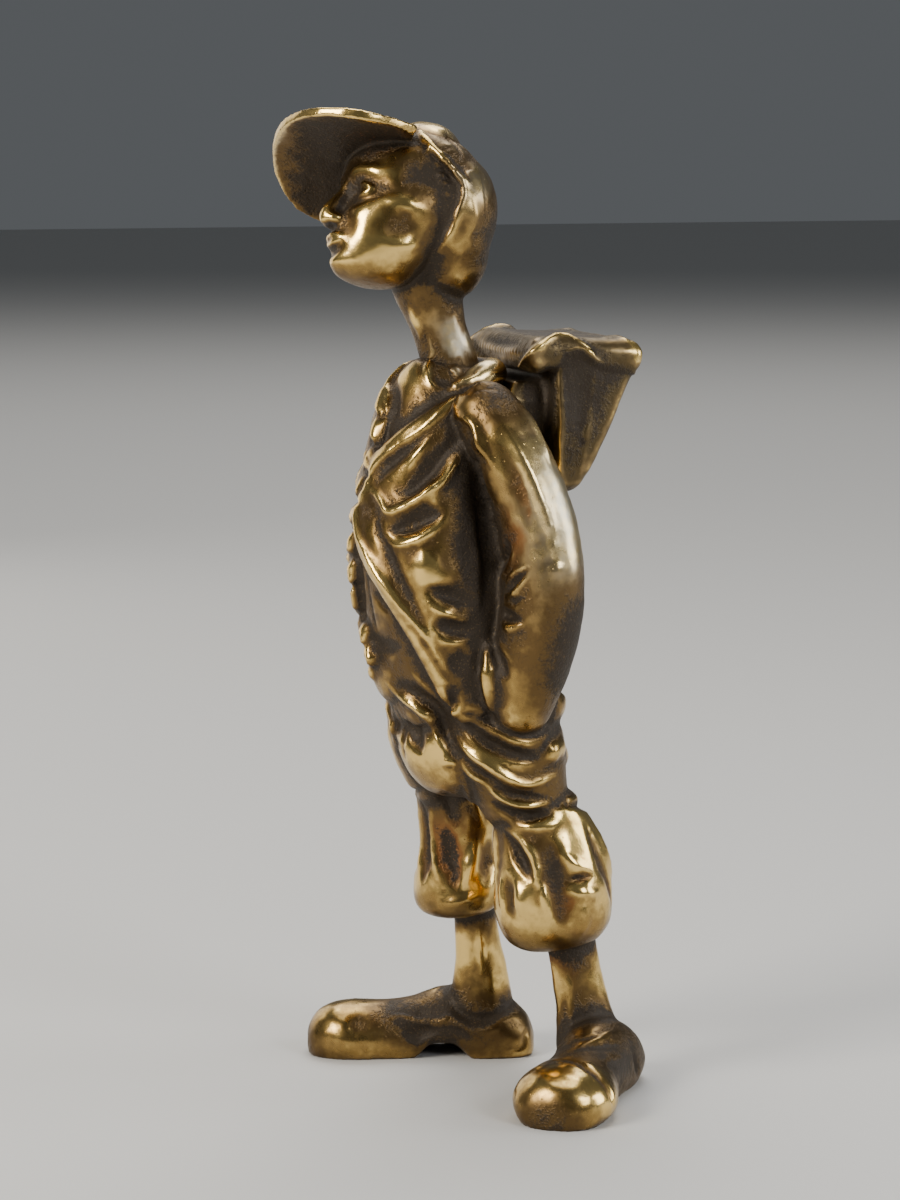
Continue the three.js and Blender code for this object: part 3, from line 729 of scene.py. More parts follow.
def capPeak():
    peak = head["peak"]
    clearSelection()
    bpy.ops.mesh.primitive_grid_add(x_subdivisions=64, y_subdivisions=36, size=2)
    plate = settled("peak")
    root, reach = peak["root"], peak["reach"]
    co = corners(plate)
    # its outline is a long oval that runs back into the crown
    turn = co[:, 0] * radians(135)
    edgeX = peak["wide"] / 2 * np.sin(turn)
    edgeY = root + (reach - root) * np.cos(turn)
    share = (co[:, 1] + 1) / 2
    x = edgeX * (0.3 + 0.7 * share)
    y = np.minimum(0, 0.3 * edgeY) * (1 - share) + edgeY * share
    setCorners(plate, np.stack([x, -y, -peak["droop"] * x ** 2], 1))
    modify(plate, "SOLIDIFY", thickness=peak["thick"], offset=0.0)
    return leaned(plate, peak["centre"], peak["lean"])


def makeHead():
    face = skinned(joined("face", faceForms()), build["fine"], 3)
    carve(face, (elevation(0), False, faceStrokes), step=0.3)
    leaned(face, head["centre"], head["lean"])
    capBack = [ball("capBack", size, centre) for size, centre in head["capBack"]]
    cap = skinned(joined("capBack", capBack), 0.8, 14)
    neck = limb("neck", head["neck"], around=16)
    return skinned(joined("head", [face, cap, neck, capCrown(), capPeak()]), build["fine"], 2)


faceStrokes = [
    ("groove", 0.4, 0.7, -4.3, -10.9, -2, -10.75, 0, -10.9, 2, -10.75, 4.3, -10.9),
    ("groove", 0.7, 0.35, 0, -8.3, 0, -9.0, 0, -9.7),
    ("groove", 1.1, 0.5, -2.6, -13.2, 0, -13.4, 2.6, -13.2),
    ("groove", 0.5, 0.7, -1.8, -7.5, -1.3, -7.6, -0.9, -7.7),
    ("groove", 0.5, 0.7, 1.8, -7.5, 1.3, -7.6, 0.9, -7.7),
    ("groove", 0.6, 0.5, -5.9, -0.6, -5.7, -0.6, -5.5, -0.6),
    ("groove", 0.6, 0.5, 5.9, -0.6, 5.7, -0.6, 5.5, -0.6),
]


# folds that the camera sees, drawn in the pixels of its picture

seenFolds = [
    # cap: rolled rim from the root of the peak down to the jaw, and the seam of the crown
    ("edge", 1.5, 1.1, 402, 124, 412, 130, 424, 142, 437, 156, 449, 168, 458, 180, 461, 193, 457,
     206, 452, 222, 444, 240, 434, 256),
    ("ridge", 0.6, 0.7, 424, 154, 428, 152, 432, 153),
    ("ridge", 0.7, 0.8, 432, 162, 436, 165, 443, 168),
    ("ridge", 0.7, 0.8, 434, 173, 440, 175, 448, 177),
    ("ridge", 0.7, 0.8, 436, 184, 444, 184, 452, 186),
    ("ridge", 0.7, 0.8, 440, 196, 446, 195, 452, 196),
    ("broad", 4.0, 0.7, 432, 160, 438, 175, 441, 192),
    ("groove", 0.5, 0.45, 437, 129, 452, 139, 466, 151, 478, 164),
    ("ridge", 1.6, 0.5, 468, 190, 472, 205, 472, 222, 466, 240),
    # neck: the line of the jaw runs into it, and the neckline of the shirt
    ("ridge", 1.1, 0.7, 407, 303, 413, 316, 419, 330, 421, 345),
    ("ridge", 0.8, 0.9, 427, 335, 432, 350, 428, 368, 430, 382, 438, 389, 449, 390),
    ("groove", 0.8, 0.6, 436, 366, 436, 377, 444, 383, 454, 380),
    ("ridge", 1.0, 1.0, 386, 372, 388, 392, 388, 412, 384, 428, 380, 448),
    ("groove", 1.2, 0.9, 394, 378, 396, 395, 396, 412, 391, 428),
    # collar roll
    ("ridge", 1.0, 0.8, 446, 394, 457, 385, 470, 379, 480, 373),
    ("groove", 1.0, 0.8, 455, 403, 468, 394, 482, 389, 497, 391),
    # jacket: its near edge from the collar past the button to the hip
    ("edge", 2.0, 1.2, 480, 382, 469, 392, 449, 401, 432, 416, 415, 431, 391, 447, 373, 464, 366,
     488, 358, 503, 357, 529, 366, 555, 378, 579, 393, 601, 408, 620, 423, 638, 434, 657, 447, 675,
     462, 694),
    ("ridge", 0.7, 0.7, 373, 464, 366, 488, 358, 503, 357, 529, 366, 555, 378, 579, 393, 601, 408,
     620, 423, 638),
    ("groove", 1.5, 1.3, 377, 505, 379, 530, 388, 552, 397, 574, 408, 595, 420, 617, 432, 638),
    # pull from the button up to the shoulder, with the hollows over and under it
    ("ridge", 1.0, 1.7, 367, 489, 376, 492, 382, 501, 388, 511, 400, 510, 417, 501, 430, 490, 443,
     481, 452, 468, 460, 455, 469, 447),
    ("ridge", 2.2, 0.8, 420, 504, 433, 494, 444, 490),
    ("dent", 2.0, 1.8, 392, 492, 410, 491, 428, 474, 444, 454, 462, 436),
    ("dent", 1.7, 1.5, 376, 485, 388, 467, 403, 453, 418, 441, 432, 430),
    ("ridge", 0.9, 0.7, 404, 477, 413, 463, 423, 449, 430, 440),
    ("dent", 1.7, 1.9, 384, 530, 397, 530, 413, 525, 432, 517, 446, 513),
    ("ridge", 1.0, 1.1, 386, 541, 397, 545, 414, 541, 432, 531, 447, 520),
    ("ridge", 6.0, 1.1, 410, 566, 428, 566, 441, 560),
    ("dent", 1.6, 1.7, 424, 589, 440, 594, 458, 600, 478, 604),
    ("ridge", 0.75, 1.2, 430, 601, 434, 607, 443, 612, 456, 618, 471, 622),
    ("dent", 1.8, 1.7, 432, 621, 448, 629, 462, 632, 478, 628),
    ("ridge", 0.8, 0.7, 434, 640, 448, 642, 462, 641, 474, 632),
    ("dent", 3.2, 0.8, 447, 655, 460, 662, 472, 656),
    ("broad", 5.0, 1.3, 476, 452, 479, 490, 477, 530, 473, 570, 472, 610, 474, 650),
    # jacket hem over the hip
    ("ridge", 0.8, 1.1, 462, 690, 459, 706, 452, 715, 447, 722),
    ("groove", 1.3, 1.5, 441, 684, 450, 694, 455, 704, 448, 712),
    ("ridge", 1.0, 0.9, 411, 672, 427, 690, 438, 701, 445, 715),
    ("ridge", 1.3, 1.4, 457, 716, 472, 721, 485, 728, 500, 736, 517, 743, 534, 742, 547, 732, 555,
     718),
    ("dent", 1.0, 0.9, 480, 712, 488, 720, 496, 728),
    ("ridge", 1.5, 0.9, 463, 711, 474, 708, 482, 714, 495, 722),
    ("dent", 1.5, 2.2, 461, 722, 472, 733, 488, 744, 509, 753, 529, 758, 542, 756),
    # breeches: thigh folds, gathers and the knee roll
    ("ridge", 1.2, 1.5, 449, 722, 456, 736, 468, 752, 488, 765, 509, 779, 526, 784, 542, 781, 560,
     772),
    ("ridge", 2.5, 0.9, 545, 742, 552, 752, 556, 764),
    ("groove", 0.9, 1.3, 464, 758, 473, 768, 488, 779, 505, 788, 517, 793),
    ("ridge", 0.8, 0.8, 458, 755, 466, 769, 480, 781, 494, 789),
    ("groove", 0.8, 1.7, 484, 782, 500, 792, 515, 797, 538, 798, 552, 796),
    ("ridge", 1.1, 1.5, 485, 785, 501, 797, 521, 804, 540, 804, 553, 801),
    ("groove", 1.0, 1.9, 490, 799, 502, 810, 523, 816, 543, 815, 554, 812),
    ("ridge", 1.4, 0.8, 500, 817, 520, 826, 545, 826, 563, 820),
    ("dent", 1.5, 1.6, 505, 830, 512, 846, 522, 864, 533, 882),
    ("ridge", 1.3, 1.2, 502, 826, 519, 838, 531, 855, 537, 874, 537, 893),
    ("broad", 2.0, 0.8, 505, 872, 508, 895, 512, 922),
    ("ridge", 0.8, 0.8, 501, 876, 501, 896, 503, 918),
    ("ridge", 1.6, 0.8, 516, 880, 519, 900, 524, 920),
    ("broad", 3.2, 1.5, 545, 838, 553, 862, 559, 890, 563, 918, 562, 935),
    ("ridge", 1.0, 0.7, 541, 880, 546, 900, 550, 920),
    ("groove", 0.7, 1.4, 568, 878, 578, 879, 594, 874),
    ("ridge", 1.5, 1.0, 566, 887, 580, 893, 600, 893),
    ("ridge", 1.5, 0.8, 560, 850, 574, 864, 590, 868),
    ("ridge", 1.4, 0.7, 583, 905, 585, 922, 578, 940),
    # far leg and the far half of the jacket
    ("ridge", 1.0, 1.6, 385, 681, 399, 695, 417, 707, 431, 721, 438, 738, 445, 757),
    ("dent", 2.2, 2.2, 397, 684, 416, 696, 433, 712, 443, 732, 452, 752, 456, 772),
    ("dent", 2.2, 1.9, 407, 720, 414, 738, 422, 755),
    ("ridge", 1.2, 1.0, 382, 686, 389, 708, 399, 736, 416, 765),
    ("slit", 0.6, 1.0, 386, 697, 386, 708, 388, 722),
    ("ridge", 1.0, 0.8, 440, 765, 452, 762, 455, 770),
    ("dent", 2.2, 1.6, 444, 790, 450, 810, 458, 828),
    ("ridge", 1.3, 1.3, 460, 770, 468, 790, 478, 812, 486, 830),
    ("ridge", 1.0, 1.3, 432, 809, 430, 824, 432, 844, 435, 864, 437, 882),
    ("broad", 2.6, 1.4, 445, 826, 450, 850, 454, 872, 456, 890),
    ("ridge", 1.5, 1.1, 477, 836, 473, 856, 467, 876, 462, 890),
    ("broad", 2.4, 0.9, 490, 836, 489, 862, 484, 890),
    ("groove", 0.9, 1.1, 442.5, 890, 443.5, 891, 444.5, 892),
    ("ridge", 1.2, 0.8, 434, 903, 448, 904, 466, 900, 484, 892),
    # shirt front and the creases of the far edge
    ("ridge", 0.9, 1.0, 374, 402, 368, 418, 364, 436, 366, 455),
    ("groove", 0.6, 1.0, 359, 450, 366, 458, 371, 466),
    ("groove", 0.6, 1.0, 354, 470, 361, 478, 367, 486),
    ("groove", 0.6, 1.0, 348, 495, 356, 500, 362, 504),
    ("groove", 0.6, 1.0, 346, 520, 352, 521, 357, 522),
    ("groove", 0.6, 1.0, 346, 552, 352, 551, 358, 548),
    ("groove", 1.4, 1.5, 359, 556, 362, 580, 362, 602, 366, 622),
    ("ridge", 0.9, 0.9, 352, 572, 350, 592, 352, 612),
    # belt end
    ("ridge", 0.9, 1.1, 360, 633, 364, 641, 367, 647),
    ("ridge", 0.9, 1.1, 366, 652, 370, 660, 372, 668),
    ("groove", 0.7, 1.0, 362, 649, 370, 650, 378, 652),
    # shins and shoes
    ("groove", 0.8, 1.1, 551, 1028, 555, 1039, 564, 1047, 577, 1041, 594, 1035, 614, 1027),
    ("ridge", 0.9, 0.7, 566, 1054, 579, 1047, 596, 1041, 613, 1034),
    ("groove", 0.9, 1.0, 446, 1001, 456, 1010, 472, 1018, 490, 1018, 504, 1010, 512, 1001),
    ("ridge", 1.0, 0.8, 384, 1022, 398, 1016, 416, 1022, 432, 1020, 452, 1022, 474, 1030, 496, 1028,
     510, 1018),
    ("ridge", 0.8, 0.5, 478, 920, 480, 950, 483, 980),
    ("ridge", 0.8, 0.6, 569, 975, 571, 1005, 573, 1035),
    ("ridge", 0.9, 0.8, 382, 1030, 394, 1018, 411, 1020, 435, 1025, 450, 1018, 472, 1032, 489, 1031,
     506, 1018, 520, 1018),
    ("broad", 2.4, 0.6, 345, 1022, 356, 1024, 370, 1030),
    ("dent", 2.4, 1.1, 400, 1032, 420, 1036, 440, 1038),
    ("groove", 0.7, 0.9, 496, 1054, 508, 1051, 523, 1047, 526, 1034, 534, 1026),
    ("groove", 0.9, 1.7, 548, 1063, 562, 1060, 580, 1064, 598, 1076, 610, 1091, 615, 1112),
    ("groove", 0.7, 0.9, 629, 1038, 635, 1056, 639, 1080),
    ("ridge", 0.9, 0.8, 556, 1048, 572, 1044, 590, 1036, 610, 1032, 624, 1030),
    ("groove", 0.6, 0.7, 566, 1056, 585, 1050, 608, 1048, 628, 1044),
    ("ridge", 0.8, 0.6, 598, 1066, 614, 1058, 628, 1060),
]


sleeveFolds = [
    # shoulder, armpit and the near edge of the sleeve
    ("ridge", 1.0, 1.4, 447, 421, 460, 417, 471, 421, 478, 434, 482, 447, 490, 460, 496, 474),
    ("ridge", 2.0, 0.7, 474, 430, 480, 445, 486, 460),
    ("ridge", 1.0, 0.9, 504, 392, 518, 404, 530, 419, 540, 437, 548, 455, 554, 470),
    ("dent", 2.0, 2.3, 466, 436, 473, 460, 480, 482, 486, 508, 488, 534, 490, 556, 489, 577, 486,
     599, 485, 620),
    ("dent", 1.5, 1.8, 503, 536, 506, 548, 502, 562, 497, 575),
    ("ridge", 1.0, 0.8, 515, 546, 511, 558, 505, 572, 500, 590, 499, 604),
    ("ridge", 1.5, 1.1, 498, 418, 511, 436, 524, 462, 536, 490, 548, 520, 555, 550, 556, 570),
    ("broad", 2.6, 0.7, 496, 440, 512, 470, 524, 500, 532, 530),
    ("slit", 0.8, 2.3, 503, 593, 510, 586, 518, 578, 525, 572, 531, 567),
    ("slit", 0.6, 1.7, 503, 602, 511, 602, 519, 599, 529, 595),
    ("dent", 1.0, 1.6, 499, 611, 505, 616, 512, 619, 525, 621),
    ("ridge", 0.9, 1.1, 500, 622, 507, 627, 516, 627, 527, 624),
    ("groove", 1.5, 1.2, 489, 636, 495, 652, 503, 668, 508, 682),
    ("ridge", 0.8, 0.7, 497, 634, 504, 650, 512, 662),
    ("groove", 1.1, 0.9, 481, 648, 478, 664, 480, 680),
    ("ridge", 1.2, 0.5, 546, 568, 556, 570, 566, 564),
]

# the sides that the camera doesn't see, in mm: plainer, in the same manner

frontFolds = [
    # creases across the rolled edge on his right
    ("dent", 0.95, 0.9, 4, 145.4, -1.4, 146, -6, 147.4),
    ("dent", 0.95, 1.5, 5.4, 139.2, 0.6, 140, -5, 141.6),
    ("dent", 0.95, 1.5, 4.6, 133, -0.6, 134, -5.6, 135.6),
    ("dent", 0.95, 1.6, 1, 127.4, -3.4, 127.8, -8.4, 128.6),
    ("dent", 0.95, 1.6, -0.6, 121.6, -5.6, 121.4, -10.4, 121.8),
    ("dent", 0.95, 1.6, -1, 115.4, -6, 115, -11, 114.6),
    ("dent", 0.95, 1.5, -1.8, 109.4, -6.8, 108.6, -11.6, 108),
    ("dent", 0.95, 1.4, -3.6, 103, -8.2, 102, -13, 101),
    ("ridge", 1.3, 0.9, -2.6, 130.2, -2.0, 130, -1.4, 129.8),
    ("dent", 1.5, 2.0, -3, 132.5, -8, 136, -11, 142, -12, 147),
    ("ridge", 1.1, 1.7, -3, 129.6, -9, 131, -14, 135, -17, 141),
    ("dent", 1.5, 2.2, -3.5, 126.8, -9, 127, -15, 129.5),
    ("ridge", 1.0, 1.5, -4, 124, -10, 123, -16, 124),
    ("dent", 1.4, 2.0, -5, 120.8, -10, 119, -16, 118.5),
    ("ridge", 1.4, 1.4, -5.5, 116, -11, 114, -17, 112.5),
    ("dent", 1.6, 2.0, -7, 110.5, -12, 107.5, -18, 105.5),
    ("ridge", 1.0, 1.4, -8, 105, -13, 102, -19, 100),
    ("dent", 1.5, 1.7, -10, 99, -15, 96, -19, 94.5),
    ("ridge", 0.9, 0.8, -12, 92, -15, 89, -18, 88),
    ("groove", 0.5, 0.6, 1.2, 120, 1.6, 110, 1.8, 100, 2.2, 91),
    ("ridge", 0.7, 0.5, 2.8, 114.4, 3.0, 114, 3.2, 113.6),
    ("ridge", 0.7, 0.5, 3.0, 104.4, 3.2, 104, 3.4, 103.6),
    ("dent", 1.7, 1.0, -2, 98, 4, 96, 10, 97),
    ("dent", 1.5, 1.0, 4, 108, 8, 106, 11, 107),
    ("groove", 0.6, 0.9, 1, 84, 0.6, 77, 0, 69),
    ("ridge", 1.2, 1.1, -2, 83, -6, 78, -8, 71),
    ("dent", 1.5, 1.4, -11, 83, -14, 77, -15, 71),
    ("ridge", 1.1, 1.0, -14.5, 84, -17.5, 78, -18, 72),
    ("groove", 1.0, 1.6, -19, 63, -12, 61.2, -6, 63),
    ("broad", 2.1, 1.2, -17, 60, -17.8, 51, -16, 41),
    ("ridge", 1.3, 1.0, -14, 61, -14.4, 52, -13, 42),
    ("broad", 2.1, 1.3, -10.8, 60, -9.8, 51, -10.6, 40),
    ("broad", 2.2, 1.2, 8.6, 60, 7.6, 51, 8.6, 40),
    ("ridge", 1.3, 1.0, 11.2, 61, 11, 52, 12.6, 42),
    ("groove", 0.7, 0.9, -27, 13, -22, 15.5, -17, 14),
    ("groove", 0.6, 0.7, -24, 18, -20, 19.5, -16, 18.5),
]

backFolds = [
    ("groove", 0.5, 0.5, 0, 129, 0, 112, 0, 93),
    ("dent", 1.9, 1.5, -16, 113, -6, 108.5, 5, 109, 15, 113.5),
    ("ridge", 1.5, 1.3, -15, 107.5, -3, 103.5, 6, 104, 15, 108),
    ("dent", 1.6, 1.3, -16, 102, -6, 98.5, 5, 98, 16, 102),
    ("ridge", 1.1, 1.2, -19, 91, -10, 88.4, -2, 90, 8, 88, 18, 91),
    ("groove", 1.2, 1.8, -19, 87.6, -10, 85, -2, 86.4, 8, 84.6, 18, 87.6),
    ("groove", 0.9, 1.6, 0, 84, 0, 76, 0, 68),
    ("dent", 1.6, 1.4, -16, 80, -9, 75, -3, 73),
    ("dent", 1.6, 1.4, 15, 81, 9, 76.5, 3, 74),
    ("ridge", 1.3, 1.2, -17, 75, -10, 70, -4, 68),
    ("ridge", 1.3, 1.2, 16, 77, 10, 72, 4, 70),
    ("groove", 1.0, 1.8, -21, 63, -12, 61, -5, 63),
    ("groove", 1.0, 1.8, 6, 64, 12, 62, 19, 64),
    ("broad", 2.2, 1.2, -20, 59, -21.5, 50, -19, 38),
    ("ridge", 1.4, 1.0, -16.5, 61, -17, 51, -14, 41),
    ("broad", 2.4, 1.3, -12.5, 60, -11, 50, -11.5, 40),
    ("ridge", 1.4, 0.9, -8.5, 58, -7, 49, -8.5, 41),
    ("broad", 2.2, 1.2, 8.4, 60, 7.4, 50, 9, 39),
    ("ridge", 1.4, 1.0, 11.4, 61, 12, 51, 14.4, 41),
    ("broad", 2.3, 1.3, 15.6, 60, 17.4, 51, 16.8, 39),
    ("groove", 0.6, 0.6, 1, 206, 1.5, 199, 1.5, 190, 1, 181),
    ("groove", 0.5, 0.5, 12, 196, 6, 201, 2, 206),
    ("groove", 0.5, 0.5, -9, 199, -4, 203, 0, 206),
]

rightFolds = [
    ("dent", 1.7, 1.4, -3, 82, -6, 77, -11, 73),
    ("ridge", 1.3, 1.2, -2, 78, -6, 72.5, -12, 69),
    ("dent", 1.4, 1.2, 3, 80, 5, 74, 4, 69),
    ("groove", 1.0, 1.6, 4, 63, -6, 61.4, -15, 63),
    ("broad", 2.2, 1.2, -2, 60, -1.2, 50, -3, 40),
    ("ridge", 1.4, 1.0, -6, 60, -6.6, 51, -7.4, 41),
    ("broad", 2.2, 1.2, -11, 59, -12, 50, -11, 40),
    ("groove", 0.7, 0.9, -13, 3, -13.5, 8, -17, 12),
    ("ridge", 0.8, 0.6, 10, 11, 2, 13, -4, 16, -10, 15, -16, 15),
]

elbowFolds = [
    ("dent", 1.5, 1.4, -16, 111, -9, 106.5, -2, 108),
    ("ridge", 1.1, 1.1, -16, 107, -8, 103, -2, 104),
    ("dent", 1.3, 1.2, -15, 102, -8, 99, -2, 100),
    ("ridge", 1.3, 0.7, -13, 95, -7, 93, -2, 94),
    ("dent", 1.6, 0.9, -10, 138, -8, 130, -7, 121),
]


def makeFigure():
    torso = makeBody()
    whole = makeHead()
    modify(whole, "BOOLEAN", operation="UNION", object=torso, solver="MANIFOLD")
    bpy.data.objects.remove(torso)
    whole.name = "hiker"
    carve(whole, (cameraRay, False, seenFolds), (cameraRay, False, sleeveFolds),
          (cameraRay, True, sleeveFolds), (elevation(0), False, frontFolds),
          (elevation(135), True, elbowFolds), (elevation(180), False, backFolds),
          (elevation(-80), False, rightFolds))
    count = triangles(whole)
    print("figure carved,", count, "triangles")
    hammered(whole, *body["dents"])
    if count > build["triangles"]:
        modify(whole, "DECIMATE", ratio=build["triangles"] / count)
    mainShell(whole)
    # arch under the far shoe, and flat soles
    co = corners(whole)
    arch, sole = body["arch"], body["sole"]
    (x, y), (wide, deep) = arch["place"], arch["spread"]
    share = np.exp(-((co[:, 1] - y) / deep) ** 4 - ((co[:, 0] - x) / wide) ** 4)
    z = co[:, 2] + arch["rise"] * share * np.clip(1 - co[:, 2] / arch["high"], 0, 1)
    co[:, 2] = np.where(z < sole, np.clip(2 * z - sole, 0, None), z)
    low, high = (np.array(corner) * 1000 - build["axis"] for corner in cadBox)
    setCorners(whole, np.clip(co, low, high))
    return whole


def hammered(piece, *dents):
    # slight unevenness of a hand-made model: size and depth of each round of dents
    for size, depth in dents:
        cloud = bpy.data.textures.new("unevenness", "CLOUDS")
        cloud.noise_scale = size
        cloud.noise_depth = 1
        modify(piece, "DISPLACE", texture=cloud, strength=depth, mid_level=0.5,
               texture_coords="LOCAL")


# the rucksack, a casting of its own

rucksack = {
    "wide": 37, "front": 17, "topBack": 37, "lowBack": 24, "low": 131, "top": 158,
    # share of the height and of the width of each ring, from the bottom
    "bag": [(-0.06, 0.8), (0, 0.92), (0.12, 0.97), (0.4, 0.99), (1, 0.97)],
    # how far down each ring is, its width, and how far its front and back edges draw in
    "lid": [(1, 0.98, 1.0, 1.9), (0.6, 1.025, 0, 0.5), (0.25, 1.02, 0, 0), (-0.12, 0.95, 1.2, 1.4)],
    "lidHigh": 7, "lidTop": 4, "overhang": 5.5, "lip": 0.6, "bagRound": 2.4, "lidRound": 1.8,
    # what the braze joins to the back: y, z, width and depth of each ring
    "web": [(13, 132.5, 23.4, 11), (13.4, 149, 24.96, 10), (14.4, 153, 20.8, 7)],
    "voxel": 0.4, "dents": [(6.0, 0.35), (2.0, 0.12)],
}


rucksackFolds = [
    # scalloped edge of the lid over the corner, and the edges and dents of the bag
    ("edge", 1.2, 1.3, 606, 362, 597, 357, 588, 347, 577, 341, 565, 338, 551, 339, 535, 350, 520,
     366),
    ("ridge", 0.8, 1.0, 518, 369, 527, 357, 538, 347, 550, 339, 563, 338, 580, 341),
    ("ridge", 0.8, 0.7, 560, 350, 560, 380, 562, 420, 561, 450, 562, 476),
    ("dent", 2.4, 0.9, 548, 362, 546, 390, 547, 420),
    ("dent", 3.0, 0.6, 584, 372, 583, 400, 580, 430),
    ("ridge", 1.0, 0.4, 596, 366, 592, 400, 586, 440, 580, 480),
    ("groove", 0.5, 0.6, 574, 426, 580, 427, 584, 426),
    ("groove", 0.5, 0.7, 583, 436, 582, 444, 578, 448),
    ("ridge", 1.2, 0.6, 600, 338, 620, 338, 634, 346),
    ("dent", 2.0, 0.5, 480, 336, 500, 340, 520, 343),
    ("ridge", 0.7, 0.5, 472, 345, 490, 347, 508, 350),
]


rucksackBack = [
    ("edge", 1.2, 0.8, 18, 155, 8, 153.6, -6, 153.8, -18, 155),
    ("dent", 3.4, 0.8, -9, 148, -7, 141, -6, 135),
    ("dent", 3.0, 0.7, 9, 149, 8, 142, 8, 136),
    ("ridge", 1.6, 0.6, 1, 150, 0, 142, 1, 134),
]


def makeRucksack():
    wide, front, top, low = (rucksack[name] for name in ("wide", "front", "top", "low"))
    fullBack, lowBack, overhang = (rucksack[name] for name in ("topBack", "lowBack", "overhang"))
    rings = []
    for share, width in rucksack["bag"]:
        back = lowBack + (fullBack - lowBack) * max(share, 0) ** 0.9
        inset = 2.0 if share < 0 else 0.0
        rings.append((0, (front + back) / 2, low + (top - low) * share, wide * width,
                      back - front - inset))
    bag = boxLimb("bag", rings, rucksack["bagRound"], 50)
    fore, deep = front - overhang, fullBack + rucksack["lip"] - front + overhang
    rings = [(0, fore + (deep + infront - behind) / 2,
              top + rucksack["lidTop"] - down * rucksack["lidHigh"], wide * width,
              deep - infront - behind) for down, width, infront, behind in rucksack["lid"]]
    lid = boxLimb("lid", rings, rucksack["lidRound"], 40)
    web = boxLimb("web", [(0, *ring) for ring in rucksack["web"]])
    whole = skinned(joined("knapsack", [bag, lid, web]), rucksack["voxel"], 5)

    def scallop(co):
        # the lid's side edge lifts over the front corner, and its top slopes back a little
        x, y, z = co.T
        flank = np.clip((np.abs(x) - 11) / 6, 0, 1)
        lift = 3 * flank * np.exp(-((y - 22) / 4) ** 2) * ((z < top + 1) & (z > top - 6))
        slope = -0.04 * (y - fore) * (z > top - 3)
        return np.outer(lift + slope, (0, 0, 1))

    pushed(whole, scallop)
    relax(whole, np.ones(len(corners(whole))), 8)
    carve(whole, (cameraRay, False, rucksackFolds), (cameraRay, True, rucksackFolds),
          (elevation(180), False, rucksackBack))
    hammered(whole, *rucksack["dents"])
    return whole


# bronze: where it lies deep the patina stays, where hands and the wheel reach it shines; painted
# shade and painted reflection are laid over that

wear_and_painted_light = {
    # how many rounds of smoothing, full depth, usual depth and share of each scale
    "scales": [(12, 0.12, 0.03, 0.4), (70, 0.6, 0.22, 0.7), (260, 1.7, 1.0, 0.9)],
    # place and spread in mm, and amount
    # painted shade: patches darkened in the armpits, behind the sleeves and rucksack, at the nape,
    # under the peak and low on the legs and shoes
    "painted_shade": [
        ((22, -2, 122), (9, 6, 24), 1.0), ((0, 17, 100), (17, 9, 18), 0.6),
        ((13, 19, 33), (15, 15, 5), 1.2), ((-13, 7, 35), (13, 13, 4.5), 1.1),
        ((-22, -2, 122), (9, 6, 22), 0.7), ((8, -10, 144), (12, 8, 9), 0.45),
        ((32, 18, 97), (13, 12, 20), 2.0), ((22, 4, 151), (9, 9, 8), 1.3),
        ((-30, 15, 95), (11, 13, 17), 1.1), ((6, 9, 183), (20, 10, 16), 1.6),
        ((12, -4, 193), (4, 5, 7), 0.9), ((-2, -18, 206), (18, 12, 4.5), 0.4),
        ((10, 4, 171), (8, 8, 6), 0.5), ((48, 4, 2), (10, 10, 6), 1.2),
        ((-30, -20, 2), (13, 15, 6.5), 1.3), ((12, 17, 150), (7, 5, 9), 1.2),
        ((20, 22, 7), (20, 24, 8), 1.8), ((-14, 4, 7), (26, 24, 8), 1.2),
    ],
    # pale worn facets, mostly painted reflection: the grey-white sheen of window light on the
    # sleeve's outer face, the neck, the shoulder and the cap, and a worn patch at the peak's tip
    "wear_and_painted_reflection": [
        ((-4, -35, 200), (9, 6, 8), 0.9), ((31.5, 13.5, 130), (6.5, 7, 19), 1.3),
        ((9, 1, 161), (6, 6, 7), 1.7), ((13, 3, 196), (7, 7, 6), 0.7),
        ((0, 2, 205), (12, 9, 6), 0.5), ((20, 10, 146), (6, 4, 8), 0.8),
    ],
    "red": [
        ((4, -19, 205), (8, 7, 4), 0.9), ((28, 6, 124), (8, 6, 16), 0.5),
        ((22, 22, 42), (9, 9, 6), 0.7), ((-6, 2, 48), (9, 7, 10), 0.6),
        ((14, 20, 30), (5, 5, 14), 0.5),
    ],
}


def patina(piece):
    # how far each corner lies under (hollow) or over (proud) the smoothed surface, at three scales
    co, no, mean = corners(piece), facings(piece).astype(float), averager(piece)
    level, done, sums = co.copy(), 0, np.zeros(len(co))
    for rounds, full, usual, share in wear_and_painted_light["scales"]:
        while done < rounds:
            level += 0.9 * (mean(level) - level)
            done += 1
        sums += share * np.clip((((level - co) * no).sum(1) + usual) / full, -1, 1)
    tints = {"hollow": np.clip(sums, -1.5, 1.5)}
    # blobs of painted shade, of pale wear with painted reflection, and of red patina
    for tint in ("painted_shade", "wear_and_painted_reflection", "red"):
        tints[tint] = np.zeros(len(co))
        for place, spread, amount in wear_and_painted_light[tint]:
            tints[tint] = np.maximum(tints[tint], amount * bump(co, place, spread))
    # painted shade on the undersides, all but the peak's, which gets only a little
    under = np.clip(-no[:, 2] - 0.1, 0, 1) * np.clip((200 - co[:, 2]) / 10, 0.3, 1)
    tints["painted_shade"] = np.maximum(tints["painted_shade"], 1.1 * under)
    for name, values in tints.items():
        layer = piece.data.attributes.new(name, "FLOAT", "POINT")
        layer.data.foreach_set("value", values.astype(np.float32))


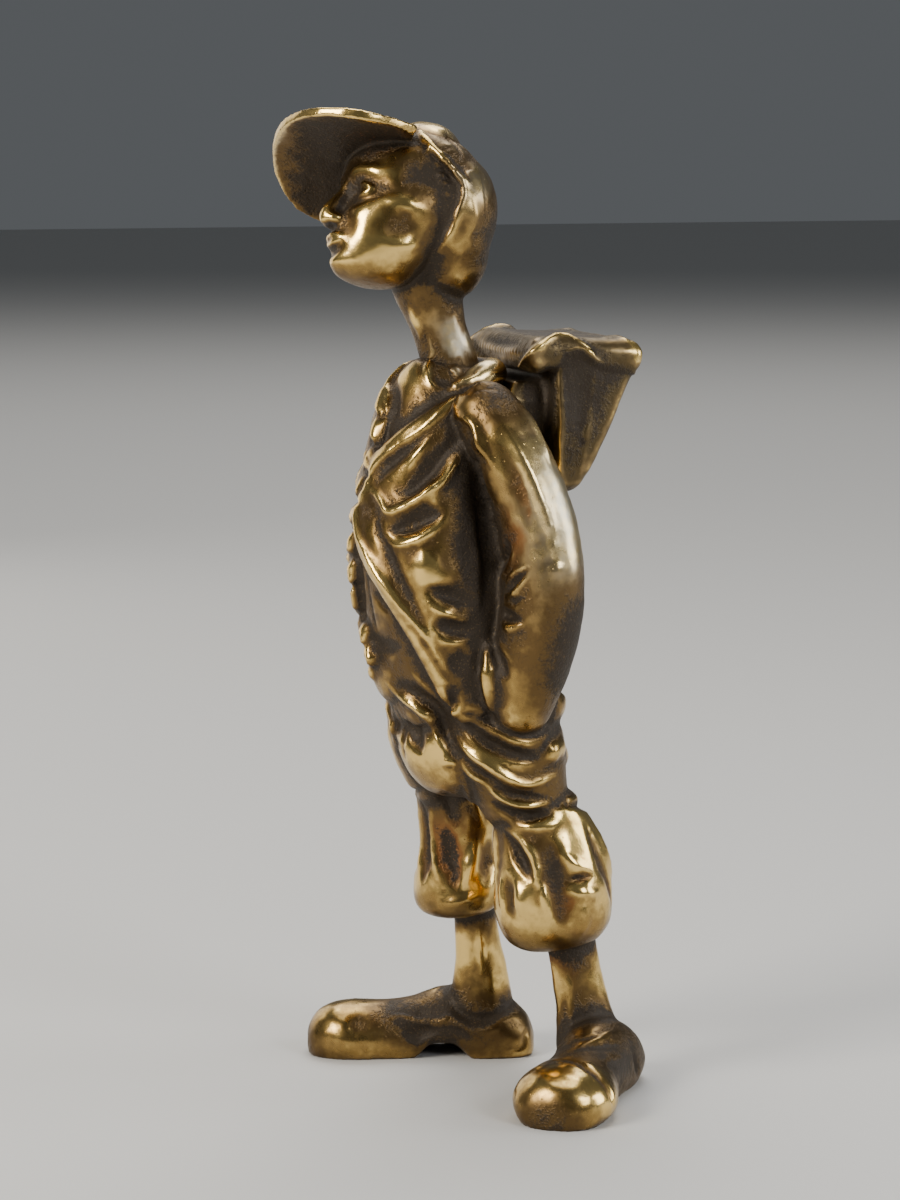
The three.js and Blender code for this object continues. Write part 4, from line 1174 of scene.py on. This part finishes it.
class Value:
    # a number that varies over the surface: sums with it add Math nodes
    def __init__(self, paint, socket):
        self.paint, self.socket = paint, socket

    def worked(self, operation, *parts):
        return self.paint.value("ShaderNodeMath", {"operation": operation}, dict(enumerate(parts)))

    def __add__(self, other):
        return self.worked("ADD", self, other)

    def __sub__(self, other):
        return self.worked("SUBTRACT", self, other)

    def __rsub__(self, other):
        return self.worked("SUBTRACT", other, self)

    def __mul__(self, other):
        return self.worked("MULTIPLY", self, other)

    __radd__, __rmul__ = __add__, __mul__

    def ramp(self, low, high):
        # 0 at low to 1 at high, easing at both ends
        return self.paint.value("ShaderNodeMapRange", {"interpolation_type": "SMOOTHSTEP"},
                                {"Value": self, "From Min": low, "From Max": high})


class Paint:
    def __init__(self, name):
        self.material = bpy.data.materials.new(name)
        self.material.use_nodes = True
        self.tree = self.material.node_tree
        self.skin = self.tree.nodes["Principled BSDF"]
        self.place = self.node("ShaderNodeTexCoord").outputs["Object"]

    def node(self, kind, settings=None, sockets=None):
        node = self.tree.nodes.new(kind)
        for name, setting in (settings or {}).items():
            setattr(node, name, setting)
        for name, given in (sockets or {}).items():
            self.feed(node.inputs[name], given)
        return node

    def feed(self, socket, given):
        if isinstance(given, Value):
            given = given.socket
        if isinstance(given, bpy.types.NodeSocket):
            self.tree.links.new(given, socket)
        else:
            socket.default_value = given

    def value(self, kind, settings=None, sockets=None, output=0):
        return Value(self, self.node(kind, settings, sockets).outputs[output])

    def attribute(self, name):
        return self.value("ShaderNodeAttribute", {"attribute_name": name}, output="Fac")

    def noise(self, size, detail=3.0, rough=0.55):
        # size in mm
        return self.value("ShaderNodeTexNoise", None, {
            "Vector": self.place, "Scale": 1000 / size, "Detail": detail, "Roughness": rough})

    def pits(self, size, reach):
        # round pits of a fraction of the cell size, in mm
        cell = self.value("ShaderNodeTexVoronoi", None,
                          {"Vector": self.place, "Scale": 1000 / size}, "Distance")
        return 1 - cell.ramp(0.0, reach)

    def mix(self, share, low, high):
        return self.node("ShaderNodeMix", {"data_type": "RGBA"},
                         {0: share, 6: low, 7: high}).outputs[2]


def bronze(name, tones):
    paint = Paint(name)
    hollow = paint.attribute("hollow")
    painted_shade, wear_and_painted_reflection, red = (paint.attribute(tint) for tint in ("painted_shade", "wear_and_painted_reflection", "red"))
    clouds, flecks, grain = paint.noise(8, 4), paint.noise(1.7, 4), paint.noise(0.55, 2)
    # patina: low on the rubbed ridges, high in the hollows; the painted shade deepens it and the
    # painted reflection thins it
    depth = (hollow + (clouds - 0.5) * 1.5 + (flecks - 0.5) * 0.8 + painted_shade * 2.0 + red * 0.9
             - wear_and_painted_reflection * 1.1 + tones["patina"])
    rubbed = depth.ramp(-1.0, -0.2)
    brown = depth.ramp(-0.3, 0.5)
    black = (depth + (grain - 0.5) * 1.6 + (flecks - 0.5) * 0.8).ramp(0.5, 1.8)
    worn = paint.mix(rubbed, tones["bare"], tones["gold"])
    # the grey of the painted reflection laid over the polished colour
    bare = paint.mix(wear_and_painted_reflection * (0.6 + 0.8 * (flecks - 0.5)), worn, tones["wear_and_painted_reflection"])
    rust = (red * 0.9 + (clouds - 0.55) * 0.6).ramp(0.1, 0.7)
    rusty = paint.mix(rust, tones["brown"], tones["red"])
    specks = paint.noise(0.42, 2).ramp(0.6, 0.7)
    covered = black * (1 - 0.6 * specks)
    colour = paint.mix(covered, paint.mix(brown * 0.94, bare, rusty), tones["black"])
    shine = (tones["shine"] + 0.06 * rubbed + 0.12 * brown + 0.2 * black + 0.12 * wear_and_painted_reflection
             + 0.1 * (flecks - 0.5))
    pores = paint.pits(1.3, 0.16) * paint.noise(6, 2).ramp(0.5, 0.62)
    grit = grain * (0.2 + 3.6 * black) * 0.05 + flecks * (0.5 + 2.5 * black) * 0.05
    height = grit - pores * 0.10 + clouds * 0.15
    normal = paint.node("ShaderNodeBump", None,
                        {"Height": height, "Strength": 0.9, "Distance": 0.001})
    paint.feed(paint.skin.inputs["Base Color"], colour)
    paint.feed(paint.skin.inputs["Roughness"], shine)
    paint.feed(paint.skin.inputs["Metallic"], 1 - black * 0.55)
    paint.feed(paint.skin.inputs["Normal"], normal.outputs["Normal"])
    return paint.material


# tones of the bronze; the grey one is the colour of the painted reflection
polished = {
    "bare": (0.88, 0.61, 0.2, 1), "gold": (0.34, 0.215, 0.068, 1), "wear_and_painted_reflection": (0.56, 0.53, 0.43, 1),
    "brown": (0.13, 0.08, 0.033, 1), "red": (0.34, 0.13, 0.04, 1),
    "black": (0.034, 0.023, 0.013, 1), "patina": 0.32, "shine": 0.2,
}
smoked = dict(polished, patina=0.7, gold=(0.24, 0.165, 0.075, 1), brown=(0.1, 0.072, 0.036, 1),
              shine=0.24)


def finish(piece, node, paint):
    # millimetres about his axis become metres in the frame
    patina(piece)
    piece.scale = (0.001, 0.001, 0.001)
    piece.location = toFrame(0, 0, 0)
    pick(piece)
    settled(piece.name)
    bpy.ops.object.shade_smooth()
    piece.data.materials.clear()
    piece.data.materials.append(paint)
    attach(piece, "root")
    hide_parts(node)
    print(piece.name, "has", triangles(piece), "triangles")


finish(makeFigure(), "figure", bronze("polishedBronze", polished))
finish(makeRucksack(), "rucksack", bronze("darkBronze", smoked))
